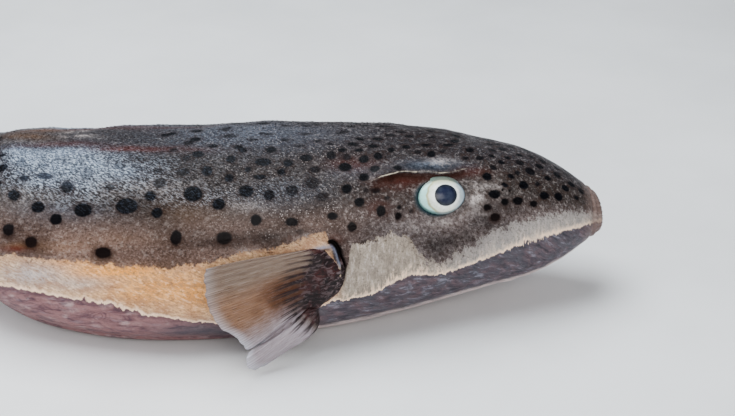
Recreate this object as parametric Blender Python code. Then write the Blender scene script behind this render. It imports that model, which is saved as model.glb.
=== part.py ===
# Spotted puffer, life size, lying on its belly with its tail swung to its left.
# Metres, +Z up, snout towards +X. The origin is on the belly's flat, under the thick of the trunk.

import math

import bmesh
import bpy
import numpy as np
from mathutils import Matrix, Vector

# Driving dimensions of the body
BODY_LENGTH = 0.530
ORIGIN_SHARE = 0.42
HEAD_TURN = math.radians(15)
TAIL_TURN = math.radians(-41)
BEND_FROM, BEND_TO = 0.36, 0.78
GAP = 0.0003

# Shares of the body's length where one named part ends and the next begins
HEAD_END, CHEST_END, BELLY_END, VENT_END = 0.250, 0.450, 0.640, 0.800

# Share of the length, half width, back, widest line, belly, and squareness above and below that line
STATIONS = np.array(
    (
        (0.000, 0.0155, 0.0590, 0.0470, 0.0350, 2.0, 2.0),
        (0.012, 0.0190, 0.0650, 0.0470, 0.0300, 2.1, 2.0),
        (0.045, 0.0280, 0.0770, 0.0465, 0.0205, 2.3, 2.1),
        (0.090, 0.0350, 0.0870, 0.0460, 0.0130, 2.5, 2.2),
        (0.147, 0.0398, 0.0950, 0.0460, 0.0078, 2.6, 2.3),
        (0.280, 0.0545, 0.1030, 0.0450, -0.0015, 2.3, 2.5),
        (0.430, 0.0570, 0.1058, 0.0430, -0.0030, 2.1, 2.6),
        (0.510, 0.0548, 0.1045, 0.0430, -0.0025, 2.1, 2.5),
        (0.580, 0.0510, 0.0995, 0.0440, 0.0010, 2.1, 2.3),
        (0.660, 0.0410, 0.0898, 0.0460, 0.0140, 2.1, 2.2),
        (0.750, 0.0300, 0.0755, 0.0475, 0.0250, 2.1, 2.1),
        (0.850, 0.0200, 0.0650, 0.0480, 0.0325, 2.1, 2.1),
        (0.930, 0.0135, 0.0590, 0.0480, 0.0370, 2.1, 2.1),
        (1.000, 0.0085, 0.0590, 0.0480, 0.0370, 2.0, 2.0),
    )
)

# Skin fold along each lower flank, and the groove behind the lips
FOLD_RISE = math.radians(-52)
FOLD_HALF_WIDTH = math.radians(4)
FOLD_HEIGHT = 0.0016
LIP_GROOVE_SHARE, LIP_GROOVE_LENGTH, LIP_GROOVE_DEPTH = 0.0050, 0.0022, 0.0010

# Facets of the body
HEAD_RINGS, HEAD_RING_CROWDING = 24, 1.7
RING_STEP = 0.0178
SIDES = 32

# Mouth: advance past the snout, half width and half height of each ring from the lips to the throat
MOUTH_HEIGHT = 0.0470
MOUTH_RINGS = (
    (0.0018, 0.0150, 0.0112),
    (0.0032, 0.0137, 0.0094),
    (0.0034, 0.0122, 0.0076),
    (0.0022, 0.0112, 0.0062),
    (-0.0010, 0.0108, 0.0057),
    (-0.0080, 0.0106, 0.0055),
)
BEAK_LENGTH, BEAK_HALF_WIDTH, BEAK_HALF_HEIGHT = 0.0125, 0.0101, 0.0050
BEAK_SUTURE = 0.0007

# Eyes, on the head's sides
EYE_SHARE, EYE_RISE = 0.175, math.radians(35)
EYE_LONG, EYE_TALL, EYE_DEEP, EYE_SINK = 0.0162, 0.0112, 0.0090, 0.0050
EYE_OPENING_LONG, EYE_OPENING_TALL = 0.0135, 0.0101
EYE_RIM = 0.0014
BROW_PLACES = ((-0.034, 0.0125), (-0.022, 0.0145), (-0.008, 0.0140), (0.004, 0.0145), (0.014, 0.0155))
BROW_RADII = (0.0008, 0.0017, 0.0020, 0.0018, 0.0009)

# Nostrils, in front of the eyes
NOSTRIL_SHARE, NOSTRIL_RISE = 0.108, math.radians(40)
NOSTRIL_LONG, NOSTRIL_TALL, NOSTRIL_HIGH = 0.0046, 0.0034, 0.0024
NOSTRIL_PIT, NOSTRIL_PIT_DEPTH, NOSTRIL_PIT_SPACING = 0.0007, 0.0016, 0.0040

# Pectoral fins and the gill slits ahead of them
PECTORAL_SHARE, PECTORAL_SLANT, PECTORAL_BOW = 0.285, 0.016, 0.010
PECTORAL_TOP, PECTORAL_FOOT = math.radians(15), math.radians(-30)
PECTORAL_RAYS = 16
PECTORAL_RAY_LENGTHS = ((0.0, 0.068), (0.13, 0.070), (0.48, 0.067), (0.70, 0.053), (0.90, 0.051), (1.0, 0.042))
PECTORAL_SINK, PECTORAL_DROOP, PECTORAL_FOLD = 0.0045, math.radians(22), math.radians(24)
PECTORAL_NOTCH_AT, PECTORAL_NOTCH_WIDTH, PECTORAL_NOTCH = 0.767, 0.022, 0.26
GILL_SHARE, GILL_RISE = 0.284, 0.0
GILL_PLACES = ((-0.0032, 0.0200), (0.0022, 0.0165), (0.0048, 0.0085), (0.0050, -0.0005), (0.0015, -0.0098))
GILL_RADII = (0.0007, 0.0015, 0.0018, 0.0016, 0.0007)
GILL_FLAP_AHEAD, GILL_FLAP_RADIUS = 0.0030, 0.0013

# Fins of the tail
DORSAL_FROM, DORSAL_TO, DORSAL_RAYS = 0.655, 0.722, 12
ANAL_FROM, ANAL_TO, ANAL_RAYS = 0.672, 0.734, 11
CAUDAL_RAYS = 15
CAUDAL_LOBE, CAUDAL_FORK = 0.092, 0.046
FLOOR_CLEARANCE = 0.0013

# Base colour, roughness and metallic value of each finish
FINISHES = {
    "skin": ((0.17, 0.14, 0.12), 0.45, 0.0),
    "fin": ((0.30, 0.22, 0.17), 0.50, 0.0),
    "eye": ((0.62, 0.70, 0.64), 0.10, 0.0),
    "tooth": ((0.80, 0.75, 0.62), 0.35, 0.0),
}


def clear_scene():
    for obj in list(bpy.data.objects):
        bpy.data.objects.remove(obj, do_unlink=True)


def new_collection(name):
    collection = bpy.data.collections.new(name)
    bpy.context.scene.collection.children.link(collection)
    return collection


def finish_material(name):
    """The material of a finish, made once."""
    material = bpy.data.materials.get(name)
    if material is None:
        colour, roughness, metallic = FINISHES[name]
        material = bpy.data.materials.new(name)
        material.use_nodes = True
        shader = material.node_tree.nodes["Principled BSDF"]
        shader.inputs["Base Color"].default_value = (*colour, 1.0)
        shader.inputs["Roughness"].default_value = roughness
        shader.inputs["Metallic"].default_value = metallic
        material.diffuse_color = (*colour, 1.0)
    return material


# The body's shape

def smooth_curve(at, knots, values):
    """Cubic curve through the values at the knots, with slopes taken from their neighbours."""
    slopes = np.gradient(values, knots, axis=0)
    index = np.clip(np.searchsorted(knots, at, side="right") - 1, 0, len(knots) - 2)
    step = knots[index + 1] - knots[index]
    t = (at - knots[index]) / step
    return (
        values[index] * (1 + 2 * t) * (1 - t) ** 2
        + values[index + 1] * t * t * (3 - 2 * t)
        + slopes[index] * step * t * (1 - t) ** 2
        - slopes[index + 1] * step * t * t * (1 - t)
    )


def body_sizes(share):
    """Sizes of the section at a share of the length. The root of the share keeps the snout blunt."""
    return smooth_curve(math.sqrt(max(share, 0.0)), np.sqrt(STATIONS[:, 0]), STATIONS[:, 1:])


def heading(share):
    """Angle from +X of the direction towards the snout."""
    t = np.clip((np.asarray(share) - BEND_FROM) / (BEND_TO - BEND_FROM), 0, 1)
    return HEAD_TURN + (TAIL_TURN - HEAD_TURN) * t * t * (3 - 2 * t)


AXIS_SHARES = np.linspace(-0.1, 1.3, 1401)
AXIS_TURNS = heading(AXIS_SHARES)
AXIS_STEP = BODY_LENGTH * (AXIS_SHARES[1] - AXIS_SHARES[0])
AXIS_X = -np.cumsum(np.cos(AXIS_TURNS)) * AXIS_STEP
AXIS_Y = -np.cumsum(np.sin(AXIS_TURNS)) * AXIS_STEP


def axis_point(share):
    x, y = (np.interp(share, AXIS_SHARES, c) - np.interp(ORIGIN_SHARE, AXIS_SHARES, c) for c in (AXIS_X, AXIS_Y))
    return np.array((x, y, 0.0))


def forward_direction(share):
    return np.array((math.cos(heading(share)), math.sin(heading(share)), 0.0))


def left_direction(share):
    return np.array((-math.sin(heading(share)), math.cos(heading(share)), 0.0))


UP = np.array((0.0, 0.0, 1.0))


def fold_relief(share, turns):
    """Height of the skin fold that runs along each lower flank."""
    along = np.clip(math.sin(math.pi * np.clip(share, 0, 1)), 0, 1) ** 0.5
    relief = 0.0
    for crest in (FOLD_RISE, math.pi - FOLD_RISE - 2 * math.pi):
        off = (turns - crest + math.pi) % (2 * math.pi) - math.pi
        relief = relief + np.clip(1 - np.abs(off) / FOLD_HALF_WIDTH, 0, 1)
    return FOLD_HEIGHT * along * relief


def ring(share, turns, grow=0.0):
    """Points round the body: turn 0 is the left flank and a quarter turn the back."""
    turns = np.asarray(turns, float)
    half, back, side, belly, upper, lower = body_sizes(share)
    across, up = np.cos(turns), np.sin(turns)
    power = 2 / np.where(up > 0, upper, lower)
    groove = LIP_GROOVE_DEPTH * math.exp(-(((share - LIP_GROOVE_SHARE) / LIP_GROOVE_LENGTH) ** 2))
    out = grow - groove + fold_relief(share, turns)
    sideways = np.sign(across) * np.abs(across) ** power * (half + out)
    reach = np.where(up > 0, back - side, side - belly) + out
    height = side + np.sign(up) * np.abs(up) ** power * reach
    height = np.maximum(height, -grow)
    return axis_point(share) + np.outer(sideways, left_direction(share)) + np.outer(height, UP)


def turn_of(side, rise):
    """Turn of a place that rises by an angle above the widest line; side is 1 on the left and -1 on the right."""
    return rise if side > 0 else math.pi - rise


def skin_point(share, side, rise):
    return ring(share, [turn_of(side, rise)])[0]


def skin_frame(share, side, rise):
    """Point on the skin, and its directions towards the snout, up round the body, and out."""
    step = 1e-3
    ahead = skin_point(share - step, side, rise) - skin_point(share + step, side, rise)
    above = skin_point(share, side, rise + step) - skin_point(share, side, rise - step)
    ahead_unit = ahead / np.linalg.norm(ahead)
    out = np.cross(ahead_unit, above) * -side
    out /= np.linalg.norm(out)
    above_unit = np.cross(out, ahead_unit) * -side
    return skin_point(share, side, rise), ahead_unit, above_unit / np.linalg.norm(above_unit), out


def skin_offset(share, side, rise, ahead, above, out=0.0):
    """Point reached from a place on the skin by going ahead and above along it, then out of it."""
    step = 1e-3
    stretch = np.linalg.norm(skin_point(share, side, rise + step) - skin_point(share, side, rise - step)) / (2 * step)
    place = (share - ahead / BODY_LENGTH, side, rise + above / stretch)
    return skin_frame(*place)[0] + skin_frame(*place)[3] * out


def skin_matrix(share, side, rise, sizes, sink=0.0):
    """Matrix that sets a unit shape on the skin with its X ahead, Y above and Z out."""
    point, ahead, above, out = skin_frame(share, side, rise)
    columns = [Vector(d * s) for d, s in zip((ahead, above, out), sizes)]
    matrix = Matrix((columns[0], columns[1], columns[2])).transposed().to_4x4()
    matrix.translation = Vector(point - out * sink)
    return matrix


# Making meshes

def finished(bm, name, collection, matrix=None, finish="skin", origin=None):
    """An object from a bmesh, with its origin at a given point."""
    bmesh.ops.recalc_face_normals(bm, faces=bm.faces)
    mesh = bpy.data.meshes.new(name)
    bm.to_mesh(mesh)
    bm.free()
    if matrix is not None:
        mesh.transform(matrix)
        if matrix.determinant() < 0:
            mesh.flip_normals()
    obj = bpy.data.objects.new(name, mesh)
    if origin is not None:
        mesh.transform(Matrix.Translation(-Vector(origin)))
        obj.location = Vector(origin)
    mesh.materials.append(finish_material(finish))
    mesh.shade_smooth()
    mesh.set_sharp_from_angle(angle=math.radians(50))
    collection.objects.link(obj)
    return obj


def loft(rings):
    """Closed bmesh through rings of points, with a flat cap on the first and the last."""
    bm = bmesh.new()
    loops = [[bm.verts.new(p) for p in points] for points in rings]
    for here, there in zip(loops, loops[1:]):
        for i in range(len(here)):
            j = (i + 1) % len(here)
            bm.faces.new((here[i], here[j], there[j]))
            bm.faces.new((here[i], there[j], there[i]))
    bm.faces.new(loops[0])
    bm.faces.new(loops[-1])
    return bm


def body_turns():
    """Turns of the points of a ring: evenly spaced, with three at each skin fold."""
    even = np.linspace(0, 2 * math.pi, SIDES, endpoint=False)
    crests = np.array((FOLD_RISE, math.pi - FOLD_RISE)) % (2 * math.pi)
    clear = [t for t in even if min(abs(t - crests)) > 1.4 * FOLD_HALF_WIDTH]
    folds = [c + k * FOLD_HALF_WIDTH for c in crests for k in (-1, 0, 1)]
    return np.array(sorted(clear + folds))


TURNS = body_turns()
HEAD_SHARES = [HEAD_END * (i / HEAD_RINGS) ** HEAD_RING_CROWDING for i in range(HEAD_RINGS + 1)]


def ring_shares(start, end):
    """Shares of the rings from one named part's start to its end."""
    if end <= HEAD_END:
        return HEAD_SHARES
    count = max(2, round((end - start) / RING_STEP) + 1)
    return list(np.linspace(start, end, count))


def body_part(name, start, end, collection):
    """One length of the body between two flat cuts, with half the gap taken off at each."""
    shares = ring_shares(start, end)
    trim = GAP / 2 / BODY_LENGTH
    shares[0] = start + trim
    if end < 1:
        shares[-1] = end - trim
    rings = [ring(s, TURNS) for s in shares]
    middle = (start + end) / 2
    origin = axis_point(middle) + UP * body_sizes(middle)[2]
    return finished(loft(rings), name, collection, origin=origin)


def body_cutter(starts_ends, cutters):
    """The body grown by the gap over some named parts, which cuts what grows from it."""
    shares = sorted({s for start, end in starts_ends for s in ring_shares(start, end)})
    rings = [ring(s, TURNS, GAP) for s in shares]
    return finished(loft(rings), "body_cutter", cutters)


def ball(name, collection, matrix, segments=16, rings=8, finish="skin", origin=None):
    bm = bmesh.new()
    bmesh.ops.create_uvsphere(bm, u_segments=segments, v_segments=rings, radius=1.0)
    bmesh.ops.transform(bm, matrix=matrix, verts=bm.verts)
    return finished(bm, name, collection, finish=finish, origin=origin)


def tube(name, collection, points, radii, cyclic=False):
    """Mesh tube through points, made from a bevelled curve with its caps welded."""
    curve = bpy.data.curves.new(name, "CURVE")
    curve.dimensions = "3D"
    curve.bevel_depth = 1.0
    curve.bevel_resolution = 1
    curve.use_fill_caps = True
    spline = curve.splines.new("POLY")
    spline.points.add(len(points) - 1)
    for target, point, radius in zip(spline.points, points, radii):
        target.co = (*point, 1.0)
        target.radius = radius
    spline.use_cyclic_u = cyclic
    guide = bpy.data.objects.new(name + "_curve", curve)
    collection.objects.link(guide)
    bpy.context.view_layer.update()
    mesh = bpy.data.meshes.new_from_object(guide.evaluated_get(bpy.context.evaluated_depsgraph_get()))
    bpy.data.objects.remove(guide, do_unlink=True)
    bm = bmesh.new()
    bm.from_mesh(mesh)
    bmesh.ops.remove_doubles(bm, verts=bm.verts, dist=1e-6)
    bpy.data.meshes.remove(mesh)
    return finished(bm, name, collection)


def fine_path(points, count):
    """Evenly spaced points on a smooth curve through a few."""
    points = np.array(points, float)
    knots = np.linspace(0, 1, len(points))
    return [smooth_curve(t, knots, points) for t in np.linspace(0, 1, count)]


def keep_largest(obj):
    """Leaves only the closed surface that spans the largest volume."""
    bm = bmesh.new()
    bm.from_mesh(obj.data)
    unseen, shells = set(bm.verts), []
    while unseen:
        shell, edge = set(), {unseen.pop()}
        while edge:
            shell |= edge
            edge = {e.other_vert(v) for v in edge for e in v.link_edges} - shell
        unseen -= shell
        shells.append(shell)
    volumes = []
    for shell in shells:
        faces = {f for v in shell for f in v.link_faces}
        fans = ((f.verts[0].co, f.verts[i].co, f.verts[i + 1].co) for f in faces for i in range(1, len(f.verts) - 1))
        volumes.append(abs(sum(a.dot(b.cross(c)) for a, b, c in fans)))
    largest = shells[volumes.index(max(volumes))]
    bmesh.ops.delete(bm, geom=[v for v in bm.verts if v not in largest], context="VERTS")
    bm.to_mesh(obj.data)
    bm.free()


def combine(obj, operation, pieces):
    """Joins pieces to an object, or cuts them from it, in one Boolean that is applied, and removes them."""
    group = bpy.data.collections.new(obj.name + "_" + operation.lower())
    bpy.context.scene.collection.children.link(group)
    for piece in pieces:
        for holder in list(piece.users_collection):
            holder.objects.unlink(piece)
        group.objects.link(piece)
    modifier = obj.modifiers.new(operation, "BOOLEAN")
    modifier.operation = operation
    modifier.operand_type = "COLLECTION"
    modifier.collection = group
    modifier.solver = "EXACT"
    bpy.context.view_layer.update()
    mesh = bpy.data.meshes.new_from_object(obj.evaluated_get(bpy.context.evaluated_depsgraph_get()))
    obj.modifiers.clear()
    obj.data = mesh
    for piece in pieces:
        bpy.data.objects.remove(piece, do_unlink=True)
    bpy.data.collections.remove(group)
    keep_largest(obj)
    obj.data.shade_smooth()
    obj.data.set_sharp_from_angle(angle=math.radians(50))


# The head

def mouth_ring(advance, half_width, half_height):
    centre = axis_point(0) + forward_direction(0) * advance + UP * MOUTH_HEIGHT
    return (
        centre
        + np.outer(np.cos(TURNS) * half_width, left_direction(0))
        + np.outer(np.sin(TURNS) * half_height, UP)
    )


def eye_rim(side, collection):
    """Raised rim of skin round the eye."""
    turns = np.linspace(0, 2 * math.pi, 22, endpoint=False)
    long, tall = EYE_OPENING_LONG + EYE_RIM / 2, EYE_OPENING_TALL + EYE_RIM / 2
    points = [skin_offset(EYE_SHARE, side, EYE_RISE, long * math.cos(t), tall * math.sin(t)) for t in turns]
    return tube("eye_rim", collection, points, [EYE_RIM] * len(points), cyclic=True)


def brow(side, collection):
    """Fold of skin that overhangs the eye."""
    path = [skin_offset(EYE_SHARE, side, EYE_RISE, a, b) for a, b in fine_path(BROW_PLACES, 11)]
    radii = [float(r[0]) for r in fine_path([(r,) for r in BROW_RADII], 11)]
    return tube("brow", collection, path, radii)


def nostril_pit(side, ahead, collection):
    """Cylinder that sinks one opening into a nostril's papilla."""
    bm = bmesh.new()
    bmesh.ops.create_cone(bm, cap_ends=True, segments=8, radius1=NOSTRIL_PIT, radius2=NOSTRIL_PIT, depth=1.0)
    place = skin_matrix(NOSTRIL_SHARE - ahead / BODY_LENGTH, side, NOSTRIL_RISE, (1, 1, 1))
    place = place @ Matrix.Translation((0, 0, NOSTRIL_HIGH)) @ Matrix.Scale(2 * NOSTRIL_PIT_DEPTH, 4, (0, 0, 1))
    bmesh.ops.transform(bm, matrix=place, verts=bm.verts)
    return finished(bm, "nostril_pit", collection)


def make_head(model, cutters):
    shares = list(reversed(HEAD_SHARES))
    shares[0] -= GAP / 2 / BODY_LENGTH
    rings = [ring(s, TURNS) for s in shares] + [mouth_ring(*r) for r in MOUTH_RINGS]
    middle = HEAD_END / 2
    head = finished(loft(rings), "head", model, origin=axis_point(middle) + UP * MOUTH_HEIGHT)
    added, cut = [], []
    for side in (-1, 1):
        nostril = (NOSTRIL_SHARE, side, NOSTRIL_RISE)
        eye = (EYE_SHARE, side, EYE_RISE)
        socket = (EYE_LONG + GAP, EYE_TALL + GAP, EYE_DEEP + GAP)
        added += [eye_rim(side, cutters), brow(side, cutters)]
        papilla = skin_matrix(*nostril, (NOSTRIL_LONG, NOSTRIL_TALL, NOSTRIL_HIGH))
        added.append(ball("papilla", cutters, papilla, 12, 8))
        cut.append(ball("socket", cutters, skin_matrix(*eye, socket, EYE_SINK), 20, 12))
        cut += [nostril_pit(side, k * NOSTRIL_PIT_SPACING / 2, cutters) for k in (-1, 1)]
    combine(head, "UNION", added)
    combine(head, "DIFFERENCE", cut)


def make_eyes(model):
    for side, name in ((-1, "eye_right"), (1, "eye_left")):
        place = skin_matrix(EYE_SHARE, side, EYE_RISE, (EYE_LONG, EYE_TALL, EYE_DEEP), EYE_SINK)
        ball(name, model, place, 20, 12, finish="eye", origin=place.translation)


def make_beak(model, cutters):
    """Upper and lower beak: halves of one rounded form that stands in the mouth, each with a middle suture."""
    throat = MOUTH_RINGS[-1][0] + GAP
    centre = axis_point(0) + forward_direction(0) * throat + UP * MOUTH_HEIGHT
    turned = Matrix.Rotation(float(heading(0)), 4, "Z")
    for up, name in ((1, "beak_upper"), (-1, "beak_lower")):
        place = Matrix.Translation(centre) @ turned
        sizes = Matrix.Diagonal((BEAK_LENGTH, BEAK_HALF_WIDTH, BEAK_HALF_HEIGHT, 1))
        beak = ball(name, model, place @ sizes, 20, 10, finish="tooth", origin=Vector(centre))
        bm = bmesh.new()
        bmesh.ops.create_cube(bm, size=1.0)
        block = Matrix.Translation((-0.05, 0, 0)) @ Matrix.Scale(0.1, 4)
        bmesh.ops.transform(bm, matrix=place @ block, verts=bm.verts)
        behind = finished(bm, "behind", cutters)
        bm = bmesh.new()
        bmesh.ops.create_cube(bm, size=0.1)
        block = Matrix.Translation((0, 0, up * (GAP / 2 - 0.05)))
        bmesh.ops.transform(bm, matrix=place @ block, verts=bm.verts)
        other_half = finished(bm, "other_half", cutters)
        bm = bmesh.new()
        bmesh.ops.create_cone(bm, cap_ends=True, segments=4, radius1=BEAK_SUTURE, radius2=BEAK_SUTURE, depth=0.02)
        block = Matrix.Translation((BEAK_LENGTH * 0.98, 0, 0))
        bmesh.ops.transform(bm, matrix=place @ block, verts=bm.verts)
        suture = finished(bm, "suture", cutters)
        combine(beak, "DIFFERENCE", [behind, other_half, suture])


# The trunk and the tail

def gill_path(side, ahead, out):
    places = [(a + ahead, b) for a, b in fine_path(GILL_PLACES, 11)]
    return [skin_offset(GILL_SHARE, side, GILL_RISE, a, b, out) for a, b in places]


def make_chest(model, cutters):
    """Front of the trunk, with a gill slit behind its flap ahead of each pectoral fin."""
    chest = body_part("chest", HEAD_END, CHEST_END, model)
    radii = [float(r[0]) for r in fine_path([(r,) for r in GILL_RADII], 11)]
    flaps, slits = [], []
    for side in (-1, 1):
        flap_radii = [r / max(GILL_RADII) * GILL_FLAP_RADIUS for r in radii]
        flaps.append(tube("gill_flap", cutters, gill_path(side, GILL_FLAP_AHEAD, 0.0), flap_radii))
        slits.append(tube("gill_slit", cutters, gill_path(side, 0.0, -0.0006), radii))
    combine(chest, "UNION", flaps)
    combine(chest, "DIFFERENCE", slits)


# The fins

def ray_path(root, back, out, length, pitch, pitch_change, yaw, yaw_change, rows):
    """Points of one ray at given shares of its length. Pitch is up from level and yaw out from straight back."""
    steps = np.linspace(0, 1, 41)
    pitches, yaws = pitch + pitch_change * steps, yaw + yaw_change * steps
    along = (
        np.outer(np.cos(pitches) * np.cos(yaws), back)
        + np.outer(np.cos(pitches) * np.sin(yaws), out)
        + np.outer(np.sin(pitches), UP)
    )
    path = root + np.vstack((np.zeros(3), np.cumsum((along[1:] + along[:-1]) / 2, axis=0))) * length * steps[1]
    return np.array([[np.interp(u, steps, path[:, k]) for k in range(3)] for u in rows])


def fin_mesh(centre, half_thickness):
    """Closed bmesh of a thin fin: a sheet on each side of its middle surface, cut into triangles alike."""
    rows, columns, _ = centre.shape
    normal = np.cross(np.gradient(centre, axis=0), np.gradient(centre, axis=1))
    normal /= np.linalg.norm(normal, axis=2, keepdims=True)
    bm = bmesh.new()
    sheets = []
    for sign in (1, -1):
        points = centre + sign * normal * half_thickness[:, :, None]
        sheets.append([[bm.verts.new(p) for p in row] for row in points])
    for sheet in sheets:
        for i in range(rows - 1):
            for j in range(columns - 1):
                bm.faces.new((sheet[i][j], sheet[i + 1][j], sheet[i + 1][j + 1]))
                bm.faces.new((sheet[i][j], sheet[i + 1][j + 1], sheet[i][j + 1]))
    border = [(0, j) for j in range(columns)] + [(i, columns - 1) for i in range(1, rows)]
    border += [(rows - 1, j) for j in range(columns - 2, -1, -1)] + [(i, 0) for i in range(rows - 2, 0, -1)]
    for (a, b), (c, d) in zip(border, border[1:] + border[:1]):
        bm.faces.new((sheets[0][a][b], sheets[0][c][d], sheets[1][c][d]))
        bm.faces.new((sheets[0][a][b], sheets[1][c][d], sheets[1][a][b]))
    return bm


def ray_thickness(rows, columns, ray, membrane):
    """Half thickness of a fin whose even columns are rays, which rise past its root and taper to their tips."""
    rows = np.asarray(rows)[:, None]
    on_ray = (np.arange(columns) % 2 == 0)[None, :]
    thick = ray[0] + (ray[1] - ray[0]) * rows
    thin = membrane[0] + (membrane[1] - membrane[0]) * rows
    return thin + np.where(on_ray, (thick - thin) * ease(rows / 0.22), 0.0)


def ease(x):
    x = np.clip(x, 0, 1)
    return x * x * (3 - 2 * x)


def above_floor(points):
    """Lifts points softly so that none comes lower than the clearance."""
    softness = 0.002
    z = (points[..., 2] - FLOOR_CLEARANCE) / softness
    points[..., 2] = FLOOR_CLEARANCE + softness * (np.maximum(z, 0) + np.log1p(np.exp(-np.abs(z))) * 0.5)
    return points


def make_pectoral(name, side, spread, model, cutters):
    """Fan of rays from a fleshy lobe on the flank; the lower rays splay out and lie on the floor."""
    columns = 2 * PECTORAL_RAYS - 1
    rows = (0, 0.07, 0.15, 0.24, 0.36, 0.50, 0.65, 0.82, 1.0)
    ray_lengths = np.array(PECTORAL_RAY_LENGTHS)
    back, out = -forward_direction(PECTORAL_SHARE), left_direction(PECTORAL_SHARE) * side
    centre = np.empty((len(rows), columns, 3))
    for j, v in enumerate(np.linspace(0, 1, columns)):
        rise = PECTORAL_TOP + (PECTORAL_FOOT - PECTORAL_TOP) * v
        share = PECTORAL_SHARE + PECTORAL_SLANT * v - PECTORAL_BOW * math.sin(math.pi * v)
        point, _, _, outward = skin_frame(share, side, rise)
        length = float(smooth_curve(v, ray_lengths[:, 0], ray_lengths[:, 1:])[0])
        length *= 1 - PECTORAL_NOTCH * math.exp(-(((v - PECTORAL_NOTCH_AT) / PECTORAL_NOTCH_WIDTH) ** 2))
        pitch = math.radians(10 - 23.5 * max(0.0, (v - 0.4) / 0.6) ** 1.2)
        yaw = math.radians(27 + 23 * v**2 * spread)
        centre[:, j] = ray_path(
            point - outward * PECTORAL_SINK, back, out, length,
            pitch, -PECTORAL_DROOP, yaw, -PECTORAL_FOLD, rows,
        )
    above_floor(centre)
    half = ray_thickness(rows, columns, (0.0012, 0.0004), (0.0007, 0.00027))
    lobe = 1 - ease((np.array(rows) - 0.12) / 0.22)
    rounded = np.sqrt(1 - np.linspace(-0.96, 0.96, columns) ** 2)
    half += 0.0036 * np.outer(lobe, rounded)
    fin = finished(fin_mesh(centre, half), name, model, finish="fin", origin=centre[0, columns // 2])
    combine(fin, "DIFFERENCE", [body_cutter(((HEAD_END, CHEST_END), (CHEST_END, BELLY_END)), cutters)])


def make_median_fin(name, above, start, end, rays, lengths, pitches, lean, model, cutters):
    """Sickle-shaped fin of the back or the underside, folded towards the tail."""
    columns = 2 * rays - 1
    rows = (0, 0.10, 0.22, 0.38, 0.58, 0.78, 1.0)
    centre = np.empty((len(rows), columns, 3))
    for j, v in enumerate(np.linspace(0, 1, columns)):
        share = start + (end - start) * v
        edge = body_sizes(share)[1] - 0.0035 if above else body_sizes(share)[3] + 0.0035
        root = axis_point(share) + UP * edge
        length = lengths[1] + (lengths[0] - lengths[1]) * (1 - v) ** 1.6
        length *= 1 - 0.12 * math.exp(-v / 0.03)
        pitch = math.radians(pitches[0] + (pitches[1] - pitches[0]) * v)
        bend = -math.radians(12) if above else math.radians(8)
        back, out = -forward_direction(share), left_direction(share)
        centre[:, j] = ray_path(root, back, out, length, pitch, bend, lean, lean, rows)
    above_floor(centre)
    half = ray_thickness(rows, columns, (0.0011, 0.0004), (0.0006, 0.00027))
    half += 0.0012 * (1 - ease(np.array(rows) / 0.25))[:, None]
    fin = finished(fin_mesh(centre, half), name, model, finish="fin", origin=centre[0, 0])
    combine(fin, "DIFFERENCE", [body_cutter(((BELLY_END, VENT_END), (VENT_END, 1.0)), cutters)])


def make_caudal_fin(model):
    """Crescent tail fin, upright, whose thick root meets the end of the tail."""
    columns = 2 * CAUDAL_RAYS - 1
    rows = (0, 0.05, 0.11, 0.19, 0.30, 0.44, 0.60, 0.80, 1.0)
    half_width, back_edge, _, belly_edge = body_sizes(1.0)[:4]
    back, out = -forward_direction(1.0), left_direction(1.0)
    start = axis_point(1.0) + back * GAP
    centre = np.empty((len(rows), columns, 3))
    for j, v in enumerate(np.linspace(0, 1, columns)):
        off = 2 * v - 1
        root = start + UP * (back_edge + (belly_edge - back_edge) * (0.03 + 0.94 * v))
        length = CAUDAL_FORK + (CAUDAL_LOBE - CAUDAL_FORK) * abs(off) ** 1.5
        length *= 1 + 0.04 * off
        pitch = math.radians(2 - 21 * off)
        spreading = -math.radians(5 * off)
        centre[:, j] = ray_path(root, back, out, length, pitch, spreading, 0.0, math.radians(10), rows)
    above_floor(centre)
    half = ray_thickness(rows, columns, (0.0013, 0.0004), (0.0007, 0.00027))
    rounded = np.sqrt(1 - np.linspace(-0.97, 0.97, columns) ** 2)
    taper = (1 - ease(np.array(rows) / 0.24)) ** 1.2
    half = half * (1 - taper)[:, None] + np.outer(taper, rounded * (half_width - 0.0003))
    finished(fin_mesh(centre, half), "caudal_fin", model, finish="fin", origin=start + UP * MOUTH_HEIGHT)


def main():
    clear_scene()
    model = new_collection("spotted_puffer")
    cutters = new_collection("cutters")
    make_head(model, cutters)
    make_eyes(model)
    make_beak(model, cutters)
    make_chest(model, cutters)
    body_part("belly", CHEST_END, BELLY_END, model)
    body_part("vent_region", BELLY_END, VENT_END, model)
    body_part("tail_stem", VENT_END, 1.0, model)
    make_pectoral("pectoral_fin_right", -1, 1.0, model, cutters)
    make_pectoral("pectoral_fin_left", 1, 0.35, model, cutters)
    make_median_fin(
        "dorsal_fin", True, DORSAL_FROM, DORSAL_TO, DORSAL_RAYS,
        (0.066, 0.026), (30, 2), math.radians(4), model, cutters,
    )
    make_median_fin(
        "anal_fin", False, ANAL_FROM, ANAL_TO, ANAL_RAYS,
        (0.058, 0.022), (-17, 2), math.radians(5), model, cutters,
    )
    make_caudal_fin(model)
    anchor = bpy.data.objects.new("spotted_puffer", None)
    model.objects.link(anchor)
    for obj in model.objects:
        if obj is not anchor:
            obj.parent = anchor


main()
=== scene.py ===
# Spotted puffer, life size, lying on its belly with its tail swung to its left: skin, eyes, beak and fins.
# Metres, +Z up, snout towards +X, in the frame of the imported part.

import math
from math import radians

import bmesh
import bpy
import numpy as np
from mathutils import Matrix, Vector
from mathutils.bvhtree import BVHTree


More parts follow.
